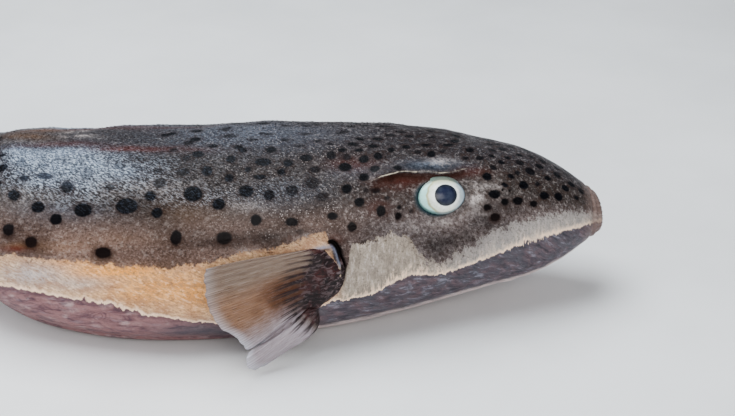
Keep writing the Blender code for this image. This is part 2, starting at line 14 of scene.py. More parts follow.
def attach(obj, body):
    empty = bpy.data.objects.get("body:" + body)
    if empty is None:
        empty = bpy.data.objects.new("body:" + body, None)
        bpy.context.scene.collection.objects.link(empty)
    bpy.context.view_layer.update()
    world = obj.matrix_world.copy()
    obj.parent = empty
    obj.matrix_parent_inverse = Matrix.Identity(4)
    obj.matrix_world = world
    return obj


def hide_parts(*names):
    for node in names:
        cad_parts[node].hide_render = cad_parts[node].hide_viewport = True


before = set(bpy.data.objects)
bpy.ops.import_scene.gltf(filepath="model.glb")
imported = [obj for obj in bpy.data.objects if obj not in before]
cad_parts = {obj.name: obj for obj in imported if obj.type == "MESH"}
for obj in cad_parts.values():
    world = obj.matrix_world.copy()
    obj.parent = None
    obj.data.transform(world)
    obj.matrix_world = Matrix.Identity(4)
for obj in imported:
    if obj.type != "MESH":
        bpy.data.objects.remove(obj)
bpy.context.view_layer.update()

# Driving sizes of the body, the same as in the part's source
BODY_LENGTH = 0.530
ORIGIN_SHARE = 0.42
HEAD_TURN = radians(15)
TAIL_TURN = radians(-41)
BEND_FROM, BEND_TO = 0.36, 0.78

# Share of the length, half width, back, widest line, belly, and squareness above and below that line
STATIONS = np.array(
    (
        (0.000, 0.0155, 0.0590, 0.0470, 0.0350, 2.0, 2.0),
        (0.012, 0.0190, 0.0650, 0.0470, 0.0300, 2.1, 2.0),
        (0.045, 0.0280, 0.0770, 0.0465, 0.0205, 2.3, 2.1),
        (0.090, 0.0350, 0.0870, 0.0460, 0.0130, 2.5, 2.2),
        (0.147, 0.0398, 0.0950, 0.0460, 0.0078, 2.6, 2.3),
        (0.280, 0.0545, 0.1030, 0.0450, -0.0015, 2.3, 2.5),
        (0.430, 0.0570, 0.1058, 0.0430, -0.0030, 2.1, 2.6),
        (0.510, 0.0548, 0.1045, 0.0430, -0.0025, 2.1, 2.5),
        (0.580, 0.0510, 0.0995, 0.0440, 0.0010, 2.1, 2.3),
        (0.660, 0.0410, 0.0898, 0.0460, 0.0140, 2.1, 2.2),
        (0.750, 0.0300, 0.0755, 0.0475, 0.0250, 2.1, 2.1),
        (0.850, 0.0200, 0.0650, 0.0480, 0.0325, 2.1, 2.1),
        (0.930, 0.0135, 0.0590, 0.0480, 0.0370, 2.1, 2.1),
        (1.000, 0.0085, 0.0590, 0.0480, 0.0370, 2.0, 2.0),
    )
)
FOLD_RISE = radians(-52)
FOLD_HALF_WIDTH = radians(4)
FOLD_HEIGHT = 0.0016
LIP_GROOVE_SHARE, LIP_GROOVE_LENGTH, LIP_GROOVE_DEPTH = 0.0050, 0.0022, 0.0010

# Mouth: advance past the snout, half width and half height of each ring from the lips to the throat
MOUTH_HEIGHT = 0.0470
MOUTH_RINGS = (
    (0.0018, 0.0150, 0.0112),
    (0.0032, 0.0137, 0.0094),
    (0.0034, 0.0122, 0.0076),
    (0.0022, 0.0112, 0.0062),
    (-0.0010, 0.0108, 0.0057),
    (-0.0080, 0.0106, 0.0055),
)
BEAK_LENGTH, BEAK_HALF_WIDTH, BEAK_HALF_HEIGHT = 0.0125, 0.0101, 0.0050
BEAK_SUTURE, BEAK_SUTURE_WIDTH, BEAK_GAP = 0.000385, 0.00042, 0.00012
BEAK_GROWTH, BEAK_GROWTH_PITCH, BEAK_CHIPS = 0.00006, 0.00085, 0.00010
BEAK_SEGMENTS, BEAK_RINGS = 112, 72

# Eyes, brows and nostrils
EYE_SHARE, EYE_RISE = 0.175, radians(35)
EYE_LONG, EYE_TALL, EYE_DEEP, EYE_SINK = 0.0162, 0.0112, 0.0090, 0.0050
EYE_OPENING_LONG, EYE_OPENING_TALL = 0.0128, 0.0084
EYE_RIM = 0.0014
PUPIL_AHEAD, PUPIL_ABOVE, PUPIL_RADIUS, PUPIL_SQUASH = 0.0012, 0.0003, 0.0065, 1.12
CRESCENT_AHEAD, CRESCENT_REACH = -0.0004, 0.0085
BROW_PLACES = (
    (-0.034, 0.0112), (-0.022, 0.0140), (-0.008, 0.0140), (0.002, 0.0132), (0.010, 0.0145),
    (0.016, 0.0165),
)
NOSTRIL_SHARE, NOSTRIL_RISE = 0.108, radians(40)
NOSTRIL_LONG, NOSTRIL_TALL, NOSTRIL_HIGH = 0.0046, 0.0034, 0.0024
NOSTRIL_PIT, NOSTRIL_PIT_DEPTH, NOSTRIL_PIT_SPACING = 0.0007, 0.0016, 0.0040

# Gill slits and pectoral fins
GILL_SHARE, GILL_RISE = 0.284, 0.0
GILL_ON_PICTURE = (
    (326, 243), (333, 242.5), (338, 248), (341.5, 259), (344.5, 268.5), (343, 280.6), (337.7, 292.7),
)
FLAP_ON_PICTURE = ((341, 270), (339.5, 261), (335, 249.5), (328, 246.5), (316, 249), (300, 254.5))
VENT_ON_PICTURE = (98, 317.5, 15, 8)
PECTORAL_ROOT_ON_PICTURE = (
    (327, 250), (334, 252.5), (339, 260), (342, 269), (342.5, 279), (340, 287), (333, 296), (322, 303),
    (314, 309), (312, 320),
)
PECTORAL_SHARE, PECTORAL_SLANT, PECTORAL_BOW = 0.285, 0.016, 0.010
PECTORAL_TOP, PECTORAL_FOOT = radians(15), radians(-30)
PECTORAL_RAYS = 16
PECTORAL_RAY_LENGTHS = (
    (0.0, 0.068), (0.13, 0.070), (0.48, 0.067), (0.70, 0.053), (0.90, 0.051), (1.0, 0.042),
)
PECTORAL_SINK, PECTORAL_DROOP, PECTORAL_FOLD = 0.0045, radians(22), radians(24)
PECTORAL_NOTCH_AT, PECTORAL_NOTCH_WIDTH, PECTORAL_NOTCH = 0.767, 0.020, 0.22
PECTORAL_BELLY_FROM, PECTORAL_BELLY = 0.66, 0.012

# Thickness of the fins: half of the sheet and of a ray at the root, and what each loses to the tip
PECTORAL_SHEET, PECTORAL_RIDGE = (0.00040, 0.00022), (0.00022, 0.00014)
PECTORAL_LOBE_HALF, PECTORAL_WRINKLES, PECTORAL_LEAST_HALF = 0.0036, 0.00032, 0.00013
PECTORAL_RUFFLE, PECTORAL_SWAY, PECTORAL_LOW = 0.00014, 0.0009, 0.0016
MEDIAN_SHEET, MEDIAN_RIDGE = (0.00036, 0.00020), (0.00052, 0.00036)
MEDIAN_ROOT_HALF, MEDIAN_SINK = 0.0017, 0.0035
CAUDAL_SHEET, CAUDAL_RIDGE, CAUDAL_SINK = (0.00040, 0.00022), (0.00060, 0.00042), 0.0015

# Fins of the tail
DORSAL_FROM, DORSAL_TO, DORSAL_RAYS = 0.655, 0.722, 12
ANAL_FROM, ANAL_TO, ANAL_RAYS = 0.672, 0.734, 11
CAUDAL_RAYS = 15
CAUDAL_LOBE, CAUDAL_FORK = 0.092, 0.046
FLOOR_CLEARANCE = 0.0013

# Picture, camera and the place it looks at
PICTURE_WIDTH, PICTURE_HEIGHT = 735, 416
CAMERA_AZIMUTH, CAMERA_ELEVATION = radians(8.0), radians(26.5)
CAMERA_DISTANCE, CAMERA_LENS, CAMERA_SENSOR = 0.676, 62.26, 36.0
CAMERA_TARGET = np.array((0.0957, 0.0015, 0.0678))
CAMERA_BACK = np.array(
    (
        math.sin(CAMERA_AZIMUTH) * math.cos(CAMERA_ELEVATION),
        -math.cos(CAMERA_AZIMUTH) * math.cos(CAMERA_ELEVATION),
        math.sin(CAMERA_ELEVATION),
    )
)

# Facets of the skin: rings along it, columns round it, and the places where both crowd
SKIN_RINGS, SKIN_COLUMNS, MOUTH_ROWS = 392, 232, 30
RING_CROWDS = ((0.0, 0.012, 3.0), (0.108, 0.012, 1.4), (0.175, 0.034, 2.4), (0.284, 0.018, 1.6))
COLUMN_CROWDS = (
    (35, 17, 1.5), (90, 8, 0.5), (145, 17, 1.5), (0, 22, 0.35), (180, 22, 0.35), (-90, 8, 0.3),
    (270, 8, 0.3),
)


# The body's shape

def smooth_curve(at, knots, values):
    """Cubic curve through the values at the knots, with slopes taken from their neighbours."""
    slopes = np.gradient(values, knots, axis=0)
    index = np.clip(np.searchsorted(knots, at, side="right") - 1, 0, len(knots) - 2)
    step = knots[index + 1] - knots[index]
    t = (at - knots[index]) / step
    return (
        values[index] * (1 + 2 * t) * (1 - t) ** 2
        + values[index + 1] * t * t * (3 - 2 * t)
        + slopes[index] * step * t * (1 - t) ** 2
        - slopes[index + 1] * step * t * t * (1 - t)
    )


def body_sizes(share):
    """Sizes of the section at a share of the length. The root of the share keeps the snout blunt."""
    return smooth_curve(math.sqrt(max(share, 0.0)), np.sqrt(STATIONS[:, 0]), STATIONS[:, 1:])


def heading(share):
    """Angle from +X of the direction towards the snout."""
    t = np.clip((np.asarray(share) - BEND_FROM) / (BEND_TO - BEND_FROM), 0, 1)
    return HEAD_TURN + (TAIL_TURN - HEAD_TURN) * t * t * (3 - 2 * t)


AXIS_SHARES = np.linspace(-0.1, 1.3, 1401)
AXIS_TURNS = heading(AXIS_SHARES)
AXIS_STEP = BODY_LENGTH * (AXIS_SHARES[1] - AXIS_SHARES[0])
AXIS_X = -np.cumsum(np.cos(AXIS_TURNS)) * AXIS_STEP
AXIS_Y = -np.cumsum(np.sin(AXIS_TURNS)) * AXIS_STEP
UP = np.array((0.0, 0.0, 1.0))


def axis_point(share):
    x, y = (
        np.interp(share, AXIS_SHARES, way) - np.interp(ORIGIN_SHARE, AXIS_SHARES, way)
        for way in (AXIS_X, AXIS_Y)
    )
    return np.array((x, y, 0.0))


def forward_direction(share):
    return np.array((math.cos(heading(share)), math.sin(heading(share)), 0.0))


def left_direction(share):
    return np.array((-math.sin(heading(share)), math.cos(heading(share)), 0.0))


def fold_relief(share, turns):
    """Height of the skin fold that runs along each lower flank."""
    along = np.clip(math.sin(math.pi * np.clip(share, 0, 1)), 0, 1) ** 0.5
    relief = 0.0
    for crest in (FOLD_RISE, math.pi - FOLD_RISE - 2 * math.pi):
        off = (turns - crest + math.pi) % (2 * math.pi) - math.pi
        relief = relief + np.exp(-((off / FOLD_HALF_WIDTH / 0.62) ** 2))
    return FOLD_HEIGHT * along * relief


def ring(share, turns):
    """Points round the body: turn 0 is the left flank and a quarter turn the back."""
    turns = np.asarray(turns, float)
    half, back, side, belly, upper, lower = body_sizes(share)
    across, up = np.cos(turns), np.sin(turns)
    power = 2 / np.where(up > 0, upper, lower)
    groove = LIP_GROOVE_DEPTH * math.exp(-(((share - LIP_GROOVE_SHARE) / LIP_GROOVE_LENGTH) ** 2))
    out = fold_relief(share, turns) - groove
    sideways = np.sign(across) * np.abs(across) ** power * (half + out)
    reach = np.where(up > 0, back - side, side - belly) + out
    height = side + np.sign(up) * np.abs(up) ** power * reach
    return axis_point(share) + np.outer(sideways, left_direction(share)) + np.outer(height, UP)


def turn_of(side, rise):
    """Turn of a place at an angle above the widest line; side is 1 on the left and -1 on the right."""
    return rise if side > 0 else math.pi - rise


def skin_point(share, side, rise):
    point = ring(share, [turn_of(side, rise)])[0]
    point[2] = max(point[2], 0.0)
    return point


def skin_frame(share, side, rise):
    """Point on the skin, and its directions towards the snout, up round the body, and out."""
    step = 1e-3
    ahead = skin_point(share - step, side, rise) - skin_point(share + step, side, rise)
    above = skin_point(share, side, rise + step) - skin_point(share, side, rise - step)
    ahead_unit = ahead / np.linalg.norm(ahead)
    out = np.cross(ahead_unit, above) * -side
    out /= np.linalg.norm(out)
    above_unit = np.cross(out, ahead_unit) * -side
    return skin_point(share, side, rise), ahead_unit, above_unit / np.linalg.norm(above_unit), out


def skin_stretch(share, side, rise):
    """Metres round the skin for each radian of rise."""
    step = 1e-3
    return np.linalg.norm(
        skin_point(share, side, rise + step) - skin_point(share, side, rise - step)
    ) / (2 * step)


def skin_matrix(share, side, rise, sink):
    """Matrix that sets a shape into the skin with its X ahead, Y above and Z out."""
    point, ahead, above, out = skin_frame(share, side, rise)
    matrix = Matrix((ahead, above, out)).transposed().to_4x4()
    matrix.translation = Vector(point - out * sink)
    return matrix


def mouth_ring(advance, half_width, half_height, turns):
    centre = axis_point(0) + forward_direction(0) * advance + UP * MOUTH_HEIGHT
    return (
        centre
        + np.outer(np.cos(turns) * half_width, left_direction(0))
        + np.outer(np.sin(turns) * half_height, UP)
    )


def ease(x):
    x = np.clip(x, 0, 1)
    return x * x * (3 - 2 * x)


def bell(x, width):
    return np.exp(-((x / width) ** 2))


def crowded(start, end, count, crowds):
    """Numbers from start to end that lie closer together near each crowd's centre."""
    even = np.linspace(start, end, 4001)
    density = 1 + sum(strength * bell(even - centre, width) for centre, width, strength in crowds)
    total = np.concatenate(([0.0], np.cumsum((density[1:] + density[:-1]) / 2)))
    return np.interp(np.linspace(0, total[-1], count), total, even)


def waves(points, length, seed, count=7):
    """Smooth seeded unevenness between about -1 and 1, with waves of about a given length."""
    draw = np.random.default_rng(seed)
    total = np.zeros(points.shape[:-1])
    for _ in range(count):
        direction = draw.normal(size=3)
        direction /= np.linalg.norm(direction)
        pace = 2 * math.pi / length * draw.uniform(0.7, 1.4)
        total += np.sin(points @ direction * pace + draw.uniform(0, 2 * math.pi))
    return total / math.sqrt(count)


def path_reach(places, path):
    """Distance of places from a path, share of the path there, and 1 or -1 for left or right of it."""
    nearest = np.full(len(places), 9.0)
    along, side = np.zeros(len(places)), np.ones(len(places))
    for i, (start, end) in enumerate(zip(path, path[1:])):
        step = end - start
        t = np.clip((places - start) @ step / (step @ step), 0, 1)
        off = places - start - t[:, None] * step
        distance = np.hypot(off[:, 0], off[:, 1])
        closer = distance < nearest
        nearest[closer] = distance[closer]
        along[closer] = (i + t[closer]) / (len(path) - 1)
        side[closer] = np.sign(step[0] * off[closer, 1] - step[1] * off[closer, 0])
    return nearest, along, side


def fine_path(points, count=41):
    points = np.array(points, float)
    knots = np.linspace(0, 1, len(points))
    return np.array([smooth_curve(t, knots, points) for t in np.linspace(0, 1, count)])


# The skin's grid

TURNS = np.radians(crowded(-90, 270, SKIN_COLUMNS + 1, COLUMN_CROWDS))[:-1]
SIDE = np.where(np.cos(TURNS) >= 0, 1.0, -1.0)
RISE = np.where(TURNS <= math.pi / 2, TURNS, math.pi - TURNS)
SHARES = crowded(0.0, 1.0, SKIN_RINGS, RING_CROWDS)


class Skin:
    """Grid of the skin: its points, and for each the share of the length, the side and the rise."""

    def __init__(self):
        controls = [ring(0.0, TURNS)] + [mouth_ring(*sizes, TURNS) for sizes in MOUTH_RINGS]
        controls = np.array(controls[::-1])
        knots = np.arange(len(controls), dtype=float)
        steps_in = np.linspace(0, knots[-1], MOUTH_ROWS, endpoint=False)
        mouth = [smooth_curve(t, knots, controls) for t in steps_in]
        self.points = np.array(mouth + [ring(s, TURNS) for s in SHARES])
        self.lip = np.concatenate((np.linspace(1, 0, MOUTH_ROWS, endpoint=False), np.zeros(SKIN_RINGS)))
        shares = np.concatenate((np.zeros(MOUTH_ROWS), SHARES))
        shape = self.points.shape[:2]
        self.lip = np.broadcast_to(self.lip[:, None], shape)
        self.share = np.broadcast_to(shares[:, None], shape)
        self.side = np.broadcast_to(SIDE[None, :], shape)
        self.rise = np.broadcast_to(RISE[None, :], shape)
        self.turn = np.broadcast_to(TURNS[None, :], shape)
        steps = np.linalg.norm(np.diff(self.points, axis=0), axis=2).mean(axis=1)
        self.along = np.broadcast_to(np.concatenate(([0.0], np.cumsum(steps)))[:, None], shape)
        round_steps = np.linalg.norm(np.diff(self.points, axis=1), axis=2)
        round_way = np.concatenate((np.zeros((shape[0], 1)), np.cumsum(round_steps, axis=1)), axis=1)
        back = int(np.argmin(np.abs(TURNS - math.pi / 2)))
        self.round = round_way - round_way[:, back:back + 1]

    def normals(self):
        down = np.gradient(self.points, axis=0)
        across = np.roll(self.points, -1, axis=1) - np.roll(self.points, 1, axis=1)
        normal = np.cross(down, across)
        return normal / np.maximum(np.linalg.norm(normal, axis=2, keepdims=True), 1e-12)

    def places(self, share, side, rise):
        """Metres ahead of and above a place for each point, along the skin, and if the sides agree."""
        ahead = (share - self.share) * BODY_LENGTH
        above = (self.rise - rise) * skin_stretch(share, side, rise)
        return ahead, above, self.side == side

    def round_places(self, share, side, rise):
        """As places, but measured round the skin itself, for a place near the widest line."""
        turn = turn_of(side, rise)
        start = np.array([np.interp(turn, TURNS, row) for row in self.round])
        above = np.abs(start)[:, None] - np.abs(self.round)
        return (share - self.share) * BODY_LENGTH, above, self.side == side

    def path_places(self, path, share, rise):
        """Metres ahead of and above a place for each share and rise of a path on the right flank."""
        found = []
        for path_share, path_rise in path:
            row = int(np.argmin(np.abs(self.share[:, 0] - path_share)))
            reach = [abs(np.interp(turn_of(-1, r), TURNS, self.round[row])) for r in (rise, path_rise)]
            found.append(((share - path_share) * BODY_LENGTH, reach[0] - reach[1]))
        return found

    def faces(self):
        rows, columns = self.points.shape[:2]
        index = np.arange(rows * columns).reshape(rows, columns)
        here, there = index[:-1], index[1:]
        corners = (here, np.roll(here, -1, axis=1), np.roll(there, -1, axis=1), there)
        return np.stack(corners, axis=2).reshape(-1, 4)


def eye_reach(ahead, above):
    """Distance past the edge of the eye's opening, negative inside it."""
    size = np.hypot(ahead / EYE_OPENING_LONG, above / EYE_OPENING_TALL)
    return (size - 1) * (EYE_OPENING_LONG + EYE_OPENING_TALL) / 2


# Relief of the skin: heights, widths and places over the plain body
LID_DROP, LID_SLOPE = 0.0045, 0.0013
BROW_SHELF, BROW_FADE, BROW_UNDERCUT = 0.0019, 0.0075, 0.0006
SLIT_DEPTH, SLIT_WIDTH = 0.0034, 0.0011
FLAP_HEIGHT, FLAP_WIDTH, FLAP_AHEAD = 0.0013, 0.0015, 0.0026
STRIP_HEIGHT, STRIP_WIDTH = 0.0011, 0.0010
FURROW_BELOW_STRIP, FURROW_WIDTH, FURROW_DEPTH = 0.0017, 0.0006, 0.0004
LID_RINGS_HEIGHT, LID_BAG_HEIGHT, LID_BAG_OFF = 0.00022, 0.0010, 0.0075
VENT_RING_DEPTH, VENT_RING_PITCH, VENT_REACH = 0.00045, 0.0016, 0.0022
BROAD_BUMPS, SMALL_BUMPS, CREASES, THROAT_FOLDS, LATERAL_LINE = 0.00055, 0.00022, 0.00016, 0.0004, 0.00028
LATERAL_RISE = radians(24)
LIP_LENGTH, LIP_PAPILLAE = 0.006, ((0.00016, 29, 0.02, 3), (0.00012, 46, 0.013, 4))
FAR_FROM_MARK = 0.02


def shape_skin(skin, vent, gill_path, strip_path):
    """Raises the folds, rims, lips and furrows, and keeps what each one marks for the skin's colours."""
    shape = skin.points.shape[:2]
    height = np.zeros(shape)
    marks = {name: np.full(shape, FAR_FROM_MARK) for name in ("eye_reach", "slit_reach")}
    for name in ("brow_above", "brow_strength", "pit", "flap", "furrow", "lid_shade"):
        marks[name] = np.zeros(shape)
    for side in (-1, 1):
        ahead, above, here = skin.places(EYE_SHARE, side, EYE_RISE)
        reach = eye_reach(ahead, above)
        near = here & (reach < 0.03)
        rim = EYE_RIM * bell(reach - 0.0009, 0.0014)
        rim *= 1 - 0.35 * ease((above - 0.003) / 0.01)
        hollow = LID_DROP * ease(-(reach - 0.0003) / LID_SLOPE)
        below = ease(-above / 0.006 + 0.4)
        rings = LID_RINGS_HEIGHT * np.sin(reach / 0.0021 * math.pi) * bell(reach - 0.006, 0.006) * below
        bag = LID_BAG_HEIGHT * bell(reach - LID_BAG_OFF, 0.0045) * below
        height += np.where(near, rim - hollow + rings * (reach > 0.001) + bag, 0.0)
        marks["eye_reach"] = np.where(near, np.minimum(reach, FAR_FROM_MARK), marks["eye_reach"])
        shade = 0.12 + 0.85 * ease(-(ahead * 0.8 + above * 0.6) / 0.012 + 0.25)
        marks["lid_shade"] = np.where(near, shade, marks["lid_shade"])

        line = fine_path(BROW_PLACES)
        over = above - np.interp(ahead, line[:, 0], line[:, 1])
        over = over + 0.00055 * waves(np.stack((ahead, 0 * ahead, 0 * ahead), axis=2), 0.011, 17, 5)
        strength = ease((ahead + 0.041) / 0.010) * ease((0.0168 - ahead) / 0.006)
        shelf = np.where(over > 0, np.exp(-over / BROW_FADE), np.exp(over / 0.0007))
        under = BROW_UNDERCUT * bell(over + 0.0018, 0.0015)
        near = here & (np.abs(over) < 0.03) & (strength > 0)
        height += np.where(near, strength * (BROW_SHELF * shelf - under), 0.0)
        marks["brow_above"] = np.where(near, over, marks["brow_above"])
        marks["brow_strength"] = np.where(near, strength, marks["brow_strength"])

        ahead, above, here = skin.places(NOSTRIL_SHARE, side, NOSTRIL_RISE)
        size = np.hypot(ahead / NOSTRIL_LONG, above / NOSTRIL_TALL)
        papilla = NOSTRIL_HIGH * np.sqrt(np.clip(1 - size**2, 0, 1)) * ease((1.15 - size) / 0.5)
        middles = [k * NOSTRIL_PIT_SPACING / 2 for k in (-1, 1)]
        pits = sum(bell(np.hypot(ahead - middle, above), NOSTRIL_PIT * 1.1) for middle in middles)
        height += np.where(here, papilla - NOSTRIL_PIT_DEPTH * pits, 0.0)
        marks["pit"] += np.where(here, pits, 0.0)

        ahead, above, here = skin.round_places(GILL_SHARE, side, GILL_RISE)
        places = np.stack((ahead.ravel(), above.ravel()), axis=1)
        near = (here & (np.abs(ahead) < 0.03) & (np.abs(above) < 0.045)).ravel()
        reach, along, way = (np.zeros(len(places)) for _ in range(3))
        reach[near], along[near], way[near] = path_reach(places[near], fine_path(gill_path))
        reach, along, way, near = (a.reshape(shape) for a in (reach, along, way, near))
        open_wide = 0.45 + 0.75 * ease(along / 0.15) * (1 - ease((along - 0.45) / 0.55)) ** 0.7
        slit = SLIT_DEPTH * open_wide * bell(reach, SLIT_WIDTH * open_wide)
        ends = ease(along / 0.2) * ease((1 - along) / 0.25)
        flap = FLAP_HEIGHT * bell(reach * way - FLAP_AHEAD, FLAP_WIDTH) * ends
        height += np.where(near, flap - slit, 0.0)
        slit_reach = np.minimum(reach / open_wide, FAR_FROM_MARK)
        marks["slit_reach"] = np.where(near, slit_reach, marks["slit_reach"])
        flat = near.ravel()
        reach, along, way = (np.full(len(places), value) for value in (FAR_FROM_MARK, 0.0, 0.0))
        reach[flat], along[flat], way[flat] = path_reach(places[flat], fine_path(strip_path))
        reach, along, way = (a.reshape(shape) for a in (reach, along, way))
        ends = ease(along / 0.15) * ease((1 - along) / 0.3)
        strip = np.where(near, bell(reach, STRIP_WIDTH) * ends, 0.0)
        height += STRIP_HEIGHT * strip
        marks["flap"] = np.maximum(strip, marks["flap"])
        ends = ease(along / 0.35) * ease((1 - along) / 0.25)
        furrow = np.where(near, bell(reach * way - FURROW_BELOW_STRIP, FURROW_WIDTH) * ends, 0.0)
        height -= FURROW_DEPTH * furrow
        marks["furrow"] = np.maximum(furrow, marks["furrow"])

    (share, side, rise), axes = vent
    marks["vent"] = np.full(shape, FAR_FROM_MARK)
    for other in (side, -side):
        reach = patch_reach(skin.points, (share, other, rise), axes)
        marks["vent"] = np.minimum(marks["vent"], reach)
    vent_rings = np.cos(marks["vent"] / VENT_RING_PITCH * 2 * math.pi)
    height -= VENT_RING_DEPTH * vent_rings * bell(marks["vent"], VENT_REACH)

    lips = bell(skin.share, LIP_LENGTH) * (1 - skin.lip) ** 0.5
    for papilla_height, number, length, seed in LIP_PAPILLAE:
        height += papilla_height * lips * np.cos(
            number * skin.turn + 3 * waves(skin.points, length, seed)
        )
    trunk = ease((skin.share - 0.02) / 0.06) * (1 - skin.lip)
    off_floor = ease((skin.points[..., 2] - 0.001) / 0.02)
    height += BROAD_BUMPS * waves(skin.points, 0.055, 11) * trunk * off_floor
    height += SMALL_BUMPS * waves(skin.points, 0.018, 12) * trunk * off_floor
    lower = ease((radians(-14) - skin.rise) / radians(20)) * trunk
    creases = waves(np.stack((skin.along, skin.round * 0.45, skin.along * 0), axis=2), 0.0075, 13)
    height += CREASES * creases * lower * off_floor
    throat = bell(skin.share - 0.10, 0.05) * ease((radians(-40) - skin.rise) / radians(20))
    height += THROAT_FOLDS * np.sin(skin.round / 0.0052 * math.pi) * throat
    lateral = bell((skin.rise - LATERAL_RISE) * 0.05, 0.0009) * ease((skin.share - 0.25) / 0.05)
    height += LATERAL_LINE * lateral * ease((1 - skin.share) / 0.1)

    skin.points = skin.points + skin.normals() * height[..., None]
    skin.points[..., 2] = np.maximum(skin.points[..., 2], 0.0)
    return marks


# Where a picture place meets the skin
GRAZING_STRETCH = 3.0


class Picture:
    """Finds the place on the right flank that shows at a point of the picture."""

    def __init__(self, skin):
        self.eye = CAMERA_TARGET + CAMERA_BACK * CAMERA_DISTANCE
        self.right = np.array((math.cos(CAMERA_AZIMUTH), math.sin(CAMERA_AZIMUTH), 0.0))
        self.up = np.cross(CAMERA_BACK, self.right)
        self.focal = CAMERA_LENS / CAMERA_SENSOR * PICTURE_WIDTH
        self.skin = skin
        self.columns = skin.points.shape[1]
        self.tree = BVHTree.FromPolygons(skin.points.reshape(-1, 3).tolist(), skin.faces().tolist())

    def spot_on_picture(self, point):
        off = np.asarray(point) - self.eye
        depth = -(off @ CAMERA_BACK)
        x = PICTURE_WIDTH / 2 + self.focal * (off @ self.right) / depth
        y = PICTURE_HEIGHT / 2 - self.focal * (off @ self.up) / depth
        return np.stack((x, y), axis=-1)

    def skin_place(self, x, y):
        """Share, side and rise of the skin at a place of the picture, or None off the skin."""
        way = (
            -CAMERA_BACK * self.focal
            + self.right * (x - PICTURE_WIDTH / 2)
            + self.up * (PICTURE_HEIGHT / 2 - y)
        )
        hit, _, face, _ = self.tree.ray_cast(Vector(self.eye), Vector(way).normalized())
        if hit is None:
            return None
        row, column = divmod(face, self.columns)
        beside = (column + 1) % self.columns
        corner = self.skin.points[row, column]
        shares = []
        for other in (self.skin.points[row + 1, column], self.skin.points[row, beside]):
            step = other - corner
            shares.append(float(np.clip((np.array(hit) - corner) @ step / (step @ step), 0, 1)))
        skin = self.skin
        share = skin.share[row, 0] + (skin.share[row + 1, 0] - skin.share[row, 0]) * shares[0]
        turn = skin.turn[0, column] + (skin.turn[0, beside] - skin.turn[0, column]) * shares[1]
        side = 1 if turn < math.pi / 2 else -1
        return share, side, turn if side > 0 else math.pi - turn

    def patch(self, x, y, width, height):
        """Place of an oval of the picture on the skin, and its two half axes, ahead and above."""
        place = self.skin_place(x, y)
        if place is None:
            return None
        point, ahead, above, _ = skin_frame(*place)
        step = 0.001
        centre = self.spot_on_picture(point)
        slopes = [(self.spot_on_picture(point + d * step) - centre) / step for d in (ahead, above)]
        turned = np.linalg.inv(np.array(slopes).T)
        axes = turned @ np.array(((width / 2, 0.0), (0.0, height / 2)))
        longest = min(1.35 * width / 2, GRAZING_STRETCH * height / 2) / np.linalg.norm(slopes[0])
        long_axis = np.linalg.norm(axes[:, 1])
        axes[:, 1] *= min(1.0, max(longest, 0.002) / long_axis)
        return place, axes


def patch_reach(points, place, axes):
    """Distance of points past the edge of an oval on the skin, in metres, negative inside it."""
    centre, ahead, above, out = skin_frame(*place)
    off = points - centre
    local = np.stack((off @ ahead, off @ above), axis=-1)
    size = np.linalg.norm(local @ np.linalg.inv(axes).T, axis=-1)
    size += np.abs(off @ out) / 0.02
    return (size - 1) * math.sqrt(abs(np.linalg.det(axes)))


